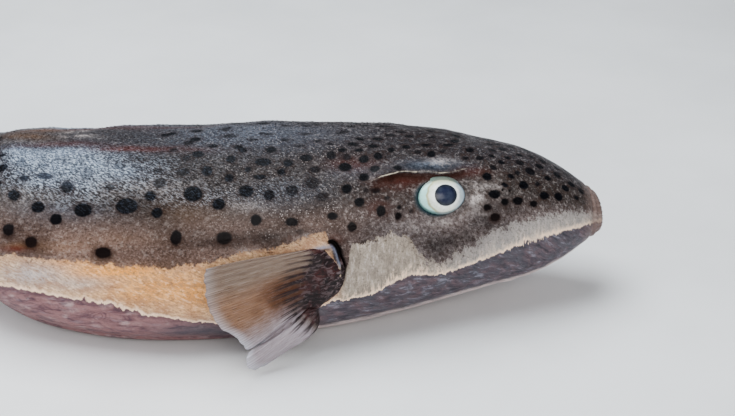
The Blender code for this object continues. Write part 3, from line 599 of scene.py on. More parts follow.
# Markings that show on the picture: centre, width, height and strength of each dark spot
SPOTS = (
    (21, 163, 11, 9, .35), (42, 165, 10, 8, .3), (24, 178, 10, 6, .75), (45, 176, 16, 7, .7),
    (13.5, 195, 12, 12, .85), (38, 207, 13, 12, .8), (56, 219, 12, 12, 1), (67, 187, 13, 12, .75),
    (83, 210, 19, 14, 1), (86.5, 174, 13, 12, .35), (110, 187, 10, 8, .6), (127, 206, 23, 16, .95),
    (103, 253, 17, 12, 1), (150, 196, 12, 10, 1), (157, 213, 12, 11, 1), (160, 183, 14, 11, .6),
    (176, 238, 12, 20, .95), (193, 194, 19, 16, .85), (219, 204, 14, 12, 1), (224, 238, 16, 13, .95),
    (207, 171, 12, 11, .9), (229, 178, 10, 9, .8), (186, 158, 8, 7, .6), (198, 154, 13, 7, .9),
    (231, 159, 11, 8, .9), (183, 172, 15, 8, .6), (158, 171, 12, 5, .6), (31, 242, 12, 12, .75),
    (8, 230, 12, 14, .8), (197, 131, 12, 3, .8), (165, 135, 10, 3, .8), (246, 191, 15, 13, .85),
    (269, 195, 12, 11, .7), (292, 191, 13, 12, .6), (312, 183, 15, 12, .5), (323, 197, 13, 9, .45),
    (347, 189, 11, 10, .8), (263, 162, 18, 9, .85), (271, 150, 13, 6, .9), (288, 163, 11, 8, .9),
    (281, 172, 10, 7, .8), (259.5, 177, 15, 5, .8), (248, 169.5, 8, 6, .8), (243, 150, 8, 6, .8),
    (238, 147, 12, 4, .8), (256, 220, 12, 12, .95), (292, 222, 15, 9, .95), (332.5, 216, 11, 8, 1),
    (352, 227, 9, 10, 1), (359.5, 202, 10, 10, 1), (381, 211, 10, 12, 1), (376, 190, 8, 6, .9),
    (399, 207, 5, 6, .8), (398, 216, 7, 8, .8), (411, 211, 5, 6, .5), (387, 198, 6, 5, .6),
    (391, 179, 7, 7, .8), (406, 175, 14, 5, .5), (375, 169, 11, 7, .9), (364, 177, 11, 8, .8),
    (398, 167.5, 10, 6, .75), (378, 156, 9, 8, .85), (364, 159, 11, 8, .85), (391, 150, 8, 5, .9),
    (406, 147, 10, 4, .8), (431, 154, 9, 7, .85), (345, 167, 14, 9, .8), (331, 155, 10, 8, .7),
    (315, 169.5, 13, 6, .6), (306, 158, 14, 7, .75), (342, 150, 10, 4, .8), (359, 150, 9, 4, .8),
    (373, 146, 12, 4, .8), (352.5, 144, 14, 3.5, .8), (377.5, 139, 12, 3, .8), (360, 139, 12, 3, .8),
    (455, 141, 10, 4, .9), (448, 145, 12, 3, .8), (426, 145, 12, 3, .8), (365, 243, 10, 8, .4),
    (347, 157, 9, 6, .6), (318, 141, 11, 3, .7), (330, 144, 10, 3, .7), (300, 146, 12, 3, .6),
    (285, 140, 11, 3, .6), (253, 140, 10, 3, .6), (232, 136, 11, 3, .6), (268, 134, 11, 2.5, .6),
    (305, 134, 12, 2.5, .6), (340, 133, 11, 2.5, .6), (390, 135, 12, 2.5, .7), (410, 136, 12, 2.5, .7),
    (432, 137, 11, 2.5, .7), (418, 152, 9, 4, .6), (443, 151, 9, 4, .6), (300, 232, 8, 6, .35),
    (366, 190, 6, 5, .5), (420, 160, 14, 4, .35), (470, 150, 9, 5, .8), (465, 158, 8, 4, .6),
    (480, 158, 9, 5, .7), (120, 166, 13, 6, .4), (137, 178, 9, 6, .35), (45, 189, 5, 6, .3),
    (62, 160, 10, 5, .3), (140, 158, 11, 5, .45), (174, 150, 10, 5, .6), (213, 146, 11, 4, .7),
    (188, 143, 11, 4, .6), (225, 130, 12, 2.5, .6), (141, 168, 8, 4, .4),
)
# Spots past the picture: least gap between them, and how many places are tried
FLANK_SPOT_CLEARANCE, SPOT_TRIES = 0.0028, 26000
# How far spots and patches of the left side lie from the right's: shares of the length and rise
SPOT_MOVE, MIRROR_MOVE = (0.010, 0.07), (0.008, 0.04)
# Columns of the picture between which its spots were read
PICTURE_LEFT_EDGE, PICTURE_RIGHT_EDGE = 3, 486

# Edges of the silver band and of the pale cheek on the picture, from the tail to the snout
BAND_TOP = (
    (6, 253), (46, 261), (84, 262), (138, 267), (184, 267), (214, 262), (239, 253), (270, 249),
    (300, 241), (318, 232), (326, 234), (331, 247), (336, 262), (346, 266), (351, 246), (370, 240),
    (390, 235), (408, 239), (418, 252), (428, 263), (441, 262), (455, 256), (470, 249), (484, 238),
    (520, 222), (560, 212),
)
BAND_FOOT = (
    (6, 286), (31, 291), (61, 297), (92, 301), (115, 306), (138, 312), (168, 318), (199, 322),
    (239, 326), (290, 318), (333, 301), (346, 300), (376, 293), (396, 281), (410, 275), (434, 275),
    (462, 268), (484, 259), (520, 246), (560, 232),
)
# The band past the picture's left edge: share of the length and rise of its top and foot
BAND_TOP_BEHIND = ((0.62, -6), (0.70, 0), (0.80, 3), (0.92, 3), (1.0, 3))
BAND_FOOT_BEHIND = ((0.62, -26), (0.70, -30), (0.80, -36), (0.92, -42), (1.0, -45))

# Soft patches on the picture: centre, width, height and strength
# Dark patches: dark markings of the skin, and painted shadow under the brow and along the top of the gill
# opening
DARK_PATCHES = (
    (440, 246, 46, 22, .9), (464, 236, 34, 16, .85), (484, 222, 30, 18, .8), (505, 210, 40, 18, .8),
    (262, 240, 80, 13, .85), (215, 243, 34, 14, .7), (252, 237, 60, 14, .85), (228, 243, 36, 11, .7),
    (300, 232, 46, 11, .55), (185, 240, 30, 22, .5), (338, 236, 18, 16, .8), (346, 262, 8, 34, .6),
    (372, 226, 26, 20, .35), (390, 176, 40, 7, .55), (346, 158, 90, 14, .35), (30, 250, 40, 14, .5),
    (440, 146, 80, 14, .45), (300, 170, 50, 16, .3), (385, 205, 34, 26, .3), (8, 234, 20, 16, .7),
    (30, 247, 30, 11, .75), (130, 208, 50, 24, .25), (320, 200, 30, 22, .3), (400, 296, 90, 12, .25),
    (455, 279, 60, 9, .1), (337, 250, 15, 24, .95), (165, 206, 70, 34, .6), (175, 165, 100, 24, .35),
    (410, 140, 90, 16, .35),
)
WARM_PATCHES = (
    (28, 136, 50, 5, .4), (110, 272, 110, 16, 1.0), (150, 290, 120, 26, .7), (205, 292, 60, 40, .55),
    (60, 248, 50, 14, .45), (190, 210, 70, 30, .3), (70, 262, 50, 8, .5), (110, 240, 90, 18, .25),
    (20, 246, 30, 7, .6),
)
# Cool patches: a bluish tint of the skin, and on the upper back and the brow lobe a painted bluish sheen
COOL_AND_SHEEN_PATCHES = (
    (200, 331, 90, 12, .8), (235, 333, 60, 10, .8), (70, 152, 60, 10, .9), (25, 158, 50, 14, .9),
    (30, 275, 70, 22, .9), (80, 284, 60, 16, .6), (60, 165, 150, 34, .9), (120, 172, 90, 30, .6),
    (430, 165, 60, 12, .9), (300, 190, 80, 26, .28), (250, 130, 160, 22, .3), (356, 172, 60, 16, .35),
    (200, 196, 80, 22, .2), (268, 196, 60, 24, .25), (372, 262, 30, 30, .25), (40, 182, 70, 20, .6),
    (85, 188, 40, 16, .5), (20, 150, 50, 10, .8), (66, 208, 90, 24, .35), (195, 200, 60, 16, .2),
)
# Red-brown patches: stains of the skin, and the two just under the brow are painted shadow
RED_PATCHES = (
    (128, 149, 76, 4, .8), (60, 144, 110, 5, .5), (150, 148, 80, 4, .5), (195, 150, 50, 4, .4),
    (352, 164, 50, 14, .45), (15, 249, 26, 6, .9), (398, 186, 34, 14, .45), (400, 180, 54, 8, .6),
    (378, 208, 24, 18, .4), (470, 172, 40, 10, .5), (336, 240, 14, 12, .35),
)
# Pale patches: pale markings of the skin; the thin ones on the crown and the one on the brow lobe are
# painted highlights
PALE_PATCHES = (
    (476, 196, 18, 22, .75), (492, 190, 20, 20, .35), (25, 142, 50, 4, .3), (440, 162, 26, 8, .5),
    (296, 238, 44, 12, .5), (250, 252, 40, 8, .5), (414, 226, 40, 12, .25), (448, 222, 30, 8, .5),
    (476, 214, 30, 6, .5), (140, 190, 120, 20, .35), (245, 206, 40, 14, .3), (30, 195, 50, 20, .3),
    (80, 136, 36, 3.5, .55),
)


def line_on_skin(picture, edge, behind):
    """Share and rise of an edge that the picture shows, carried on to the tail."""
    seen = [picture.skin_place(*place) for place in edge]
    pairs = [(p[0], p[2]) for p in seen if p is not None and p[1] < 0]
    pairs += [(share, radians(rise)) for share, rise in behind]
    pairs.sort()
    first = pairs[0]
    pairs.insert(0, (-0.01, first[1]))
    return np.array(pairs)


def edge_height(skin, line):
    """Metres by which each point lies above an edge along the flank."""
    rise = np.interp(skin.share, line[:, 0], line[:, 1])
    stretch = np.array([skin_stretch(s, 1, radians(-15)) for s in skin.share[:, 0]])
    return (skin.rise - rise) * stretch[:, None]


def patch_marks(skin, picture, patches, seed):
    """Strength of soft patches over the whole skin, the same on the left but moved a little."""
    draw = np.random.default_rng(seed)
    total = np.zeros(skin.points.shape[:2])
    for x, y, width, height, strength in patches:
        found = picture.patch(x, y, width, height)
        if found is None:
            continue
        (share, side, rise), axes = found
        for other in (side, -side):
            move = draw.normal(size=2) * MIRROR_MOVE * (other != side)
            place = (share + move[0], other, rise + move[1])
            near = np.linalg.norm(skin.points - skin_point(*place), axis=2) < 3 * np.abs(axes).sum()
            reach = patch_reach(skin.points[near], place, axes)
            size = reach / math.sqrt(abs(np.linalg.det(axes))) + 1
            values = strength * np.exp(-(np.maximum(size, 0) ** 2) * 0.9)
            total[near] = total[near] + values * (1 - total[near])
    return total


def on_flank(rise):
    return 1 - ease((rise - radians(10)) / radians(45))


def spot_radius(share, rise, draw):
    """Radius of a spot past the picture: larger on the flank, smaller on the back and the tail."""
    flank = on_flank(rise)
    tail = ease((share - 0.55) / 0.3)
    head = 1 - ease((share - 0.10) / 0.10)
    size = 0.0026 + 0.0011 * flank * (1 - 0.75 * head) - 0.0010 * tail - 0.0003 * head
    return size * draw.uniform(0.75, 1.25)


def spot_marks(skin, picture, band):
    """Distance past the edge of the nearest dark spot, and that spot's strength."""
    draw = np.random.default_rng(21)
    spots = []
    for x, y, width, height, strength in SPOTS:
        found = picture.patch(x, y, width, height)
        if found is None:
            continue
        (share, side, rise), axes = found
        spots.append(((share, side, rise), axes, strength))
        place = (share + draw.normal() * SPOT_MOVE[0], -side, rise + draw.normal() * SPOT_MOVE[1])
        spots.append((place, axes, strength))
    points = skin.points.reshape(-1, 3)
    seen = picture.spot_on_picture(points)
    facing = skin.normals().reshape(-1, 3) @ CAMERA_BACK
    on_picture = (seen[:, 0] > PICTURE_LEFT_EDGE) & (seen[:, 0] < PICTURE_RIGHT_EDGE) & (facing > 0.10)
    share, rise, side = skin.share.ravel(), skin.rise.ravel(), skin.side.ravel()
    high = band.ravel() > 0.006
    open_skin = high & ~on_picture & (share > 0.012)
    mirrored = (side > 0) & (share > 0.16) & (share < 0.52) & (rise < radians(50))
    eye_clear = np.ones(len(points), bool)
    for eye in (-1, 1):
        centre = skin_point(EYE_SHARE, eye, EYE_RISE)
        eye_clear &= np.linalg.norm(points - centre, axis=1) > 0.020
    candidates = np.flatnonzero(open_skin & ~mirrored & eye_clear)
    centres = [skin_point(*place) for place, _, _ in spots]
    radii = [math.sqrt(abs(np.linalg.det(axes))) for _, axes, _ in spots]
    for index in draw.permutation(candidates)[:SPOT_TRIES]:
        radius = spot_radius(share[index], rise[index], draw)
        spare = np.linalg.norm(np.array(centres) - points[index], axis=1) - np.array(radii) - radius
        roomy = 1 + 1.3 * on_flank(rise[index]) * ease((share[index] - 0.15) / 0.1)
        if spare.min() < FLANK_SPOT_CLEARANCE * draw.uniform(0.55, 1.3) * roomy:
            continue
        long, tall = radius * draw.uniform(1.0, 1.3), radius * draw.uniform(0.8, 1.0)
        place = (float(share[index]), int(side[index]), float(rise[index]))
        spots.append((place, np.diag((long, tall)), draw.uniform(0.7, 1.0)))
        centres.append(points[index])
        radii.append(radius)
    reach = np.full(len(points), 0.012)
    strength = np.zeros(len(points))
    for (place, axes, depth), centre, radius in zip(spots, centres, radii):
        near = np.flatnonzero(((points - centre) ** 2).sum(axis=1) < (2.2 * radius + 0.012) ** 2)
        distance = patch_reach(points[near], place, axes)
        closer = distance < reach[near]
        reach[near[closer]] = distance[closer]
        strength[near[closer]] = depth
    shape = skin.points.shape[:2]
    return reach.reshape(shape), strength.reshape(shape)


# Making meshes

def scene_object(name, data):
    obj = bpy.data.objects.new(name, data)
    bpy.context.scene.collection.objects.link(obj)
    return obj


def mesh_object(name, points, faces, material):
    mesh = bpy.data.meshes.new(name)
    mesh.from_pydata(np.asarray(points).tolist(), [], faces)
    mesh.update()
    mesh.shade_smooth()
    mesh.materials.append(material)
    return scene_object(name, mesh)


def outward(obj):
    """Turns every face of a closed mesh outwards."""
    bm = bmesh.new()
    bm.from_mesh(obj.data)
    bmesh.ops.recalc_face_normals(bm, faces=bm.faces)
    bm.to_mesh(obj.data)
    bm.free()
    return obj


def keep_marks(mesh, marks):
    """Stores values of the points as attributes that the materials read."""
    for name, values in marks.items():
        values = np.asarray(values, np.float32)
        if values.ndim == 2 and values.shape[1] == 3:
            layer = mesh.attributes.new(name, "FLOAT_VECTOR", "POINT")
            layer.data.foreach_set("vector", values.ravel())
        else:
            layer = mesh.attributes.new(name, "FLOAT", "POINT")
            layer.data.foreach_set("value", values.ravel())


def make_skin(material):
    """One skin from the throat over the lips to the end of the tail, with its markings."""
    skin = Skin()
    plain = Picture(skin)
    paths = []
    for path in (GILL_ON_PICTURE, FLAP_ON_PICTURE):
        found = [plain.skin_place(*place) for place in path]
        paths.append(skin.path_places([(p[0], p[2]) for p in found], GILL_SHARE, GILL_RISE))
    marks = shape_skin(skin, plain.patch(*VENT_ON_PICTURE), *paths)
    picture = Picture(skin)
    top = line_on_skin(picture, BAND_TOP, BAND_TOP_BEHIND)
    foot = line_on_skin(picture, BAND_FOOT, BAND_FOOT_BEHIND)
    marks["band"] = edge_height(skin, top)
    marks["keel"] = edge_height(skin, foot)
    marks["spot"], marks["spot_strength"] = spot_marks(skin, picture, marks["band"])
    for name, patches, seed in (
        ("dark", DARK_PATCHES, 1), ("warm", WARM_PATCHES, 2), ("cool_and_sheen", COOL_AND_SHEEN_PATCHES, 3),
        ("red", RED_PATCHES, 4), ("pale", PALE_PATCHES, 5),
    ):
        marks[name] = patch_marks(skin, picture, patches, seed)
    marks["rise"] = skin.rise
    marks["share"] = skin.share
    marks["lip"] = skin.lip
    back_rough = ease((skin.rise - radians(34)) / radians(14))
    back_rough = back_rough * ease((skin.share - 0.17) / 0.06) * ease((0.66 - skin.share) / 0.06)
    belly_rough = ease((radians(-60) - skin.rise) / radians(10))
    belly_rough = belly_rough * ease((skin.share - 0.12) / 0.05) * ease((0.60 - skin.share) / 0.06)
    marks["back_rough"] = back_rough * (marks["spot"] > -0.0002)
    marks["belly_rough"] = belly_rough
    rows, columns = skin.points.shape[:2]
    place = np.stack((skin.along, np.abs(skin.round), 0.03 * np.cos(skin.turn)), axis=2)
    normal = skin.normals()
    tail_way = np.gradient(skin.points, axis=0)
    tail_way /= np.maximum(np.linalg.norm(tail_way, axis=2, keepdims=True), 1e-12)
    lie = tail_way * 0.86 + normal * 0.42 + UP * -0.12 * (skin.rise > 0)[..., None]
    ends = [skin.points[0].mean(axis=0), skin.points[-1].mean(axis=0)]
    points = np.concatenate((skin.points.reshape(-1, 3), ends))
    faces = skin.faces().tolist()
    last = (rows - 1) * columns
    total = rows * columns
    for j in range(columns):
        beside = (j + 1) % columns
        faces.append((total, beside, j))
        faces.append((total + 1, last + j, last + beside))
    obj = mesh_object("skin", points, faces, material)

    def spread(values):
        flat = values.reshape(rows * columns, -1)
        both = np.concatenate(
            (flat, values[0].reshape(columns, -1)[:1], values[-1].reshape(columns, -1)[:1])
        )
        return both if both.shape[1] > 1 else both[:, 0]

    keep_marks(obj.data, {name: spread(np.ascontiguousarray(v, dtype=float)) for name, v in marks.items()})
    keep_marks(
        obj.data, {"skin_place": spread(place), "lie": spread(lie), "round_way": spread(skin.round)},
    )
    outward(obj)
    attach(obj, "root")
    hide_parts("head", "chest", "belly", "vent_region", "tail_stem")
    return obj, [plain.skin_place(*place) for place in PECTORAL_ROOT_ON_PICTURE]


# The eyes

def make_eye(side, name, node, material):
    """Eyeball with a rounder cornea over the pupil; its front looks out of the head."""
    sides, rings = 96, 56
    place = skin_matrix(EYE_SHARE, side, EYE_RISE, EYE_SINK)
    pole = np.array((PUPIL_AHEAD, PUPIL_ABOVE))
    points, reaches = [], []
    for i in range(rings + 1):
        angle = math.pi * (i / rings) ** 1.25
        for j in range(sides):
            around = 2 * math.pi * j / sides
            flat = np.array((math.cos(around) * EYE_LONG, math.sin(around) * EYE_TALL)) * math.sin(angle)
            shift = pole * max(math.cos(angle), 0.0) ** 2
            high = EYE_DEEP * math.cos(angle)
            inside = flat + shift
            size = math.hypot(inside[0] / EYE_LONG, inside[1] / EYE_TALL)
            if angle < math.pi / 2:
                high = EYE_DEEP * math.sqrt(max(0.0, 1 - min(size, 1.0) ** 2))
            reach = math.hypot(inside[0] - pole[0], (inside[1] - pole[1]) * PUPIL_SQUASH)
            cornea = 0.0006 * bell(reach, PUPIL_RADIUS * 1.15)
            points.append((inside[0], inside[1], high + cornea))
            reaches.append(reach if angle < math.pi / 2 else 0.03)
    faces = []
    for i in range(rings):
        for j in range(sides):
            a, b = i * sides + j, i * sides + (j + 1) % sides
            faces.append((a, a + sides, b + sides, b))
    points = np.array(points)
    edge = eye_reach(points[:, 0], points[:, 1])
    world = (np.array(place.to_3x3()) @ points.T).T + np.array(place.translation)
    obj = mesh_object(name, world, faces, material)
    keep_marks(obj.data, {"pupil_reach": np.array(reaches), "eye_place": points, "opening": edge})
    bm = bmesh.new()
    bm.from_mesh(obj.data)
    bmesh.ops.remove_doubles(bm, verts=bm.verts, dist=1e-7)
    bmesh.ops.dissolve_degenerate(bm, edges=bm.edges, dist=1e-8)
    bmesh.ops.recalc_face_normals(bm, faces=bm.faces)
    bm.to_mesh(obj.data)
    bm.free()
    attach(obj, "root")
    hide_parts(node)
    return obj


# The beak

def make_beak(up, name, material):
    """One half of the beak: two plates with a suture between them and a cutting edge."""
    throat = MOUTH_RINGS[-1][0] + 0.0003
    centre = axis_point(0) + forward_direction(0) * throat + UP * MOUTH_HEIGHT
    turned = Matrix.Translation(centre) @ Matrix.Rotation(float(heading(0)), 4, "Z")
    bm = bmesh.new()
    bmesh.ops.create_uvsphere(bm, u_segments=BEAK_SEGMENTS, v_segments=BEAK_RINGS, radius=1.0)
    bmesh.ops.transform(
        bm, matrix=Matrix.Diagonal((BEAK_LENGTH, BEAK_HALF_WIDTH, BEAK_HALF_HEIGHT, 1)), verts=bm.verts,
    )
    for spot, way in (((0, 0, up * BEAK_GAP), (0, 0, -up)), ((0, 0, 0), (-1, 0, 0))):
        geometry = bm.verts[:] + bm.edges[:] + bm.faces[:]
        bmesh.ops.bisect_plane(
            bm, geom=geometry, plane_co=spot, plane_no=way, clear_outer=True, dist=1e-7,
        )
        rim = [e for e in bm.edges if e.is_boundary]
        bmesh.ops.contextual_create(bm, geom=rim)
    bmesh.ops.triangulate(bm, faces=[f for f in bm.faces if len(f.verts) > 4])
    for vert in bm.verts:
        x, y, z = vert.co
        if x < 0.002:
            continue
        groove = BEAK_SUTURE * math.exp(-((y / BEAK_SUTURE_WIDTH) ** 2))
        growth = BEAK_GROWTH * math.sin(z / BEAK_GROWTH_PITCH * 2 * math.pi) * min(1.0, abs(z) / 0.001)
        chips = BEAK_CHIPS * math.sin(y * 2300) * math.exp(-abs(z) / 0.0008)
        vert.co.x -= groove + growth * 0.5
        vert.co.z += up * max(chips, 0.0) * (1 if abs(z) < 0.001 else 0)
    bmesh.ops.recalc_face_normals(bm, faces=bm.faces)
    bm.transform(turned)
    mesh = bpy.data.meshes.new(name)
    bm.to_mesh(mesh)
    bm.free()
    mesh.shade_smooth()
    mesh.set_sharp_from_angle(angle=radians(42))
    mesh.materials.append(material)
    obj = scene_object(name, mesh)
    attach(obj, "root")
    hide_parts(name.replace("beak_plates", "beak"))
    return obj


# The fins

def ray_path(root, back, out, length, pitch, pitch_change, yaw, yaw_change, rows):
    """Points of one ray at shares of its length; pitch is up from level, yaw out from straight back."""
    steps = np.linspace(0, 1, 41)
    pitches, yaws = pitch + pitch_change * steps, yaw + yaw_change * steps
    along = (
        np.outer(np.cos(pitches) * np.cos(yaws), back)
        + np.outer(np.cos(pitches) * np.sin(yaws), out)
        + np.outer(np.sin(pitches), UP)
    )
    path = root + np.vstack(
        (np.zeros(3), np.cumsum((along[1:] + along[:-1]) / 2, axis=0))
    ) * length * steps[1]
    return np.array([[np.interp(u, steps, path[:, k]) for k in range(3)] for u in rows])


def above_floor(points):
    """Lifts points softly so that none comes lower than the clearance."""
    softness = 0.002
    z = (points[..., 2] - FLOOR_CLEARANCE) / softness
    points[..., 2] = FLOOR_CLEARANCE + softness * (np.maximum(z, 0) + np.log1p(np.exp(-np.abs(z))) * 0.5)
    return points


def ray_ridges(rays, columns, rows):
    """How far each point lies on a ray, from 0 to 1. Past its middle a ray parts in two, then in four."""
    place = np.linspace(0, rays - 1, columns)
    off = place - np.round(place)
    one = bell(off, 0.17)
    two = np.maximum(bell(off - 0.15, 0.10), bell(off + 0.15, 0.10))
    four = np.max([bell(off - k, 0.055) for k in (-0.36, -0.13, 0.13, 0.36)], axis=0)
    first, second = ease((rows - 0.34) / 0.16), ease((rows - 0.64) / 0.14)
    ridges = np.outer(1 - first, one) + np.outer(first * (1 - second), two) + np.outer(second, four)
    return ridges, off


def fin_half(rows, ridges, sheet, ray, rise_from, rise_over):
    """Half thickness of a fin: a tapering sheet with tapering rays that rise from it past the root."""
    taper = rows[:, None]
    raised = ease((rows - rise_from) / rise_over)[:, None] * ridges
    return sheet[0] - sheet[1] * taper + raised * (ray[0] - ray[1] * taper)


def rounded_edges(columns, most):
    """Share of the thickness at each column of a fleshy root, thin at both edges."""
    return np.sqrt(1 - np.linspace(-most, most, columns) ** 2)


def fin_object(name, node, centre, half, ridges, material):
    """Closed thin fin with a sheet on each side of its middle surface."""
    rows, columns, _ = centre.shape
    normal = np.cross(np.gradient(centre, axis=0), np.gradient(centre, axis=1))
    normal /= np.linalg.norm(normal, axis=2, keepdims=True)
    points = np.concatenate([(centre + sign * normal * half[..., None]).reshape(-1, 3) for sign in (1, -1)])
    index = np.arange(rows * columns).reshape(rows, columns)
    faces = []
    for offset, flip in ((0, False), (rows * columns, True)):
        grid = index + offset
        quads = np.stack(
            (grid[:-1, :-1], grid[1:, :-1], grid[1:, 1:], grid[:-1, 1:]), axis=2,
        ).reshape(-1, 4)
        faces += (quads[:, ::-1] if flip else quads).tolist()
    border = list(index[0, :]) + list(index[1:, -1]) + list(index[-1, -2::-1]) + list(index[-2:0:-1, 0])
    shift = rows * columns
    for a, b in zip(border, border[1:] + border[:1]):
        faces.append((int(a), int(b), int(b) + shift, int(a) + shift))
    obj = mesh_object(name, points, faces, material)
    along = np.repeat(np.linspace(0, 1, rows)[:, None], columns, axis=1)
    across = np.repeat(np.linspace(0, 1, columns)[None, :], rows, axis=0)
    marks = {"along": along, "across": across, "ray": ridges}
    keep_marks(obj.data, {key: np.concatenate((v.ravel(), v.ravel())) for key, v in marks.items()})
    outward(obj)
    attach(obj, "root")
    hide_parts(node)
    return obj


def margin_lengths(rays, columns, seed, scallop, uneven):
    """Length of each column against its ray's: shorter between rays, and a little uneven."""
    draw = np.random.default_rng(seed)
    place = np.linspace(0, rays - 1, columns)
    off = np.abs(place - np.round(place)) * 2
    own = 1 + draw.normal(size=rays) * uneven
    return np.interp(place, np.arange(rays), own) * (1 - scallop * off**2)


def make_pectoral(name, node, side, spread, seed, root_path, material):
    """Fan of rays from a fleshy lobe on the flank; the lower rays splay out and lie on the floor."""
    columns = (PECTORAL_RAYS - 1) * 10 + 1
    rows = np.concatenate((np.linspace(0, 0.3, 30, endpoint=False), np.linspace(0.3, 1, 62)))
    ray_lengths = np.array(PECTORAL_RAY_LENGTHS)
    back, out = -forward_direction(PECTORAL_SHARE), left_direction(PECTORAL_SHARE) * side
    lengths = margin_lengths(PECTORAL_RAYS, columns, seed, 0.007, 0.009)
    centre = np.empty((len(rows), columns, 3))
    root_places = fine_path([(p[0], p[2]) for p in root_path], columns)
    for j, v in enumerate(np.linspace(0, 1, columns)):
        rise = PECTORAL_TOP + (PECTORAL_FOOT - PECTORAL_TOP) * v
        share = PECTORAL_SHARE + PECTORAL_SLANT * v - PECTORAL_BOW * math.sin(math.pi * v)
        point, _, _, outward_way = skin_frame(share, side, rise)
        length = float(smooth_curve(v, ray_lengths[:, 0], ray_lengths[:, 1:])[0]) * lengths[j]
        length *= 1 - PECTORAL_NOTCH * math.exp(-(((v - PECTORAL_NOTCH_AT) / PECTORAL_NOTCH_WIDTH) ** 2))
        pitch = radians(10 - 23.5 * max(0.0, (v - 0.4) / 0.6) ** 1.2)
        yaw = radians(27 + 23 * v**2 * spread)
        centre[:, j] = ray_path(
            point - outward_way * PECTORAL_SINK, back, out, length,
            pitch, -PECTORAL_DROOP, yaw, -PECTORAL_FOLD, rows,
        )
        root, _, _, root_out = skin_frame(root_places[j][0], side, root_places[j][1])
        moved_root = root - root_out * PECTORAL_SINK - centre[0, j]
        centre[:, j] += np.outer(1 - ease((rows - 0.2) / 0.8), moved_root)
        swell = PECTORAL_BELLY * ease((v - PECTORAL_BELLY_FROM) / (1 - PECTORAL_BELLY_FROM))
        centre[:, j] -= np.outer(swell * np.sin(math.pi * rows ** 0.85), back)
    above_floor(centre)
    ridges, off = ray_ridges(PECTORAL_RAYS, columns, rows)
    half = fin_half(rows, ridges, PECTORAL_SHEET, PECTORAL_RIDGE, 0.05, 0.16)
    lobe = 1 - ease((rows - 0.12) / 0.22)
    rounded = rounded_edges(columns, 0.985)
    half = half + PECTORAL_LOBE_HALF * np.outer(lobe, rounded)
    ray_wave = np.cos(off * 2 * math.pi)[None, :]
    wrinkles = waves(centre * (1, 1, 2.2), 0.0055, seed + 1)
    wrinkles = wrinkles + 0.45 * ray_wave * ease((rows - 0.12) / 0.12)[:, None]
    half = half + PECTORAL_WRINKLES * wrinkles * np.outer(lobe * (2.5 - 2 * lobe), rounded)
    half = np.maximum(half, PECTORAL_LEAST_HALF)
    ruffle = PECTORAL_RUFFLE * ray_wave * ease((rows - 0.25) / 0.4)[:, None]
    sway = PECTORAL_SWAY * waves(centre, 0.045, seed + 2) * ease((rows - 0.2) / 0.6)[:, None]
    normal = np.cross(np.gradient(centre, axis=0), np.gradient(centre, axis=1))
    normal /= np.linalg.norm(normal, axis=2, keepdims=True)
    moved = centre + normal * (ruffle + sway)[..., None]
    moved[..., 2] = np.maximum(moved[..., 2], np.minimum(centre[..., 2], PECTORAL_LOW))
    return fin_object(name, node, moved, half, ridges, material)


def make_median_fin(name, node, above, start, end, rays, lengths, pitches, lean, seed, material):
    """Sickle-shaped fin of the back or the underside, folded towards the tail."""
    columns = (rays - 1) * 10 + 1
    rows = np.linspace(0, 1, 64)
    margin = margin_lengths(rays, columns, seed, 0.025, 0.012)
    centre = np.empty((len(rows), columns, 3))
    for j, v in enumerate(np.linspace(0, 1, columns)):
        share = start + (end - start) * v
        edge = body_sizes(share)[1] - MEDIAN_SINK if above else body_sizes(share)[3] + MEDIAN_SINK
        root = axis_point(share) + UP * edge
        length = lengths[1] + (lengths[0] - lengths[1]) * (1 - v) ** 1.6
        length *= (1 - 0.12 * math.exp(-v / 0.03)) * margin[j]
        pitch = radians(pitches[0] + (pitches[1] - pitches[0]) * v)
        bend = -radians(12) if above else radians(8)
        back, out = -forward_direction(share), left_direction(share)
        centre[:, j] = ray_path(root, back, out, length, pitch, bend, lean, lean, rows)
    above_floor(centre)
    ridges, _ = ray_ridges(rays, columns, rows)
    half = fin_half(rows, ridges, MEDIAN_SHEET, MEDIAN_RIDGE, 0.08, 0.15)
    half = half + MEDIAN_ROOT_HALF * np.outer(1 - ease(rows / 0.28), rounded_edges(columns, 0.98))
    return fin_object(name, node, centre, half, ridges, material)


def make_caudal_fin(name, node, material):
    """Crescent tail fin, upright, whose thick root goes into the end of the tail."""
    columns = (CAUDAL_RAYS - 1) * 10 + 1
    rows = np.linspace(0, 1, 90)
    half_width, back_edge, _, belly_edge, _, _ = body_sizes(1.0)
    back, out = -forward_direction(1.0), left_direction(1.0)
    start = axis_point(1.0) - back * CAUDAL_SINK
    margin = margin_lengths(CAUDAL_RAYS, columns, 8, 0.02, 0.008)
    centre = np.empty((len(rows), columns, 3))
    for j, v in enumerate(np.linspace(0, 1, columns)):
        off = 2 * v - 1
        root = start + UP * (back_edge + (belly_edge - back_edge) * (0.03 + 0.94 * v))
        length = CAUDAL_FORK + (CAUDAL_LOBE - CAUDAL_FORK) * abs(off) ** 1.5
        length = CAUDAL_SINK + length * (1 + 0.04 * off) * margin[j]
        pitch = radians(2 - 21 * off)
        spreading = -radians(5 * off)
        centre[:, j] = ray_path(root, back, out, length, pitch, spreading, 0.0, radians(10), rows)
    above_floor(centre)
    ridges, _ = ray_ridges(CAUDAL_RAYS, columns, rows)
    half = fin_half(rows, ridges, CAUDAL_SHEET, CAUDAL_RIDGE, 0.08, 0.15)
    fleshy = (1 - ease(rows / 0.24)) ** 1.2
    half = half * (1 - fleshy)[:, None] + np.outer(
        fleshy, rounded_edges(columns, 0.985) * (half_width - 0.0002),
    )
    return fin_object(name, node, centre, half, ridges, material)


# Materials

SOCKETS = {"specular": "Specular IOR Level", "coat": "Coat Weight", "coat_roughness": "Coat Roughness"}


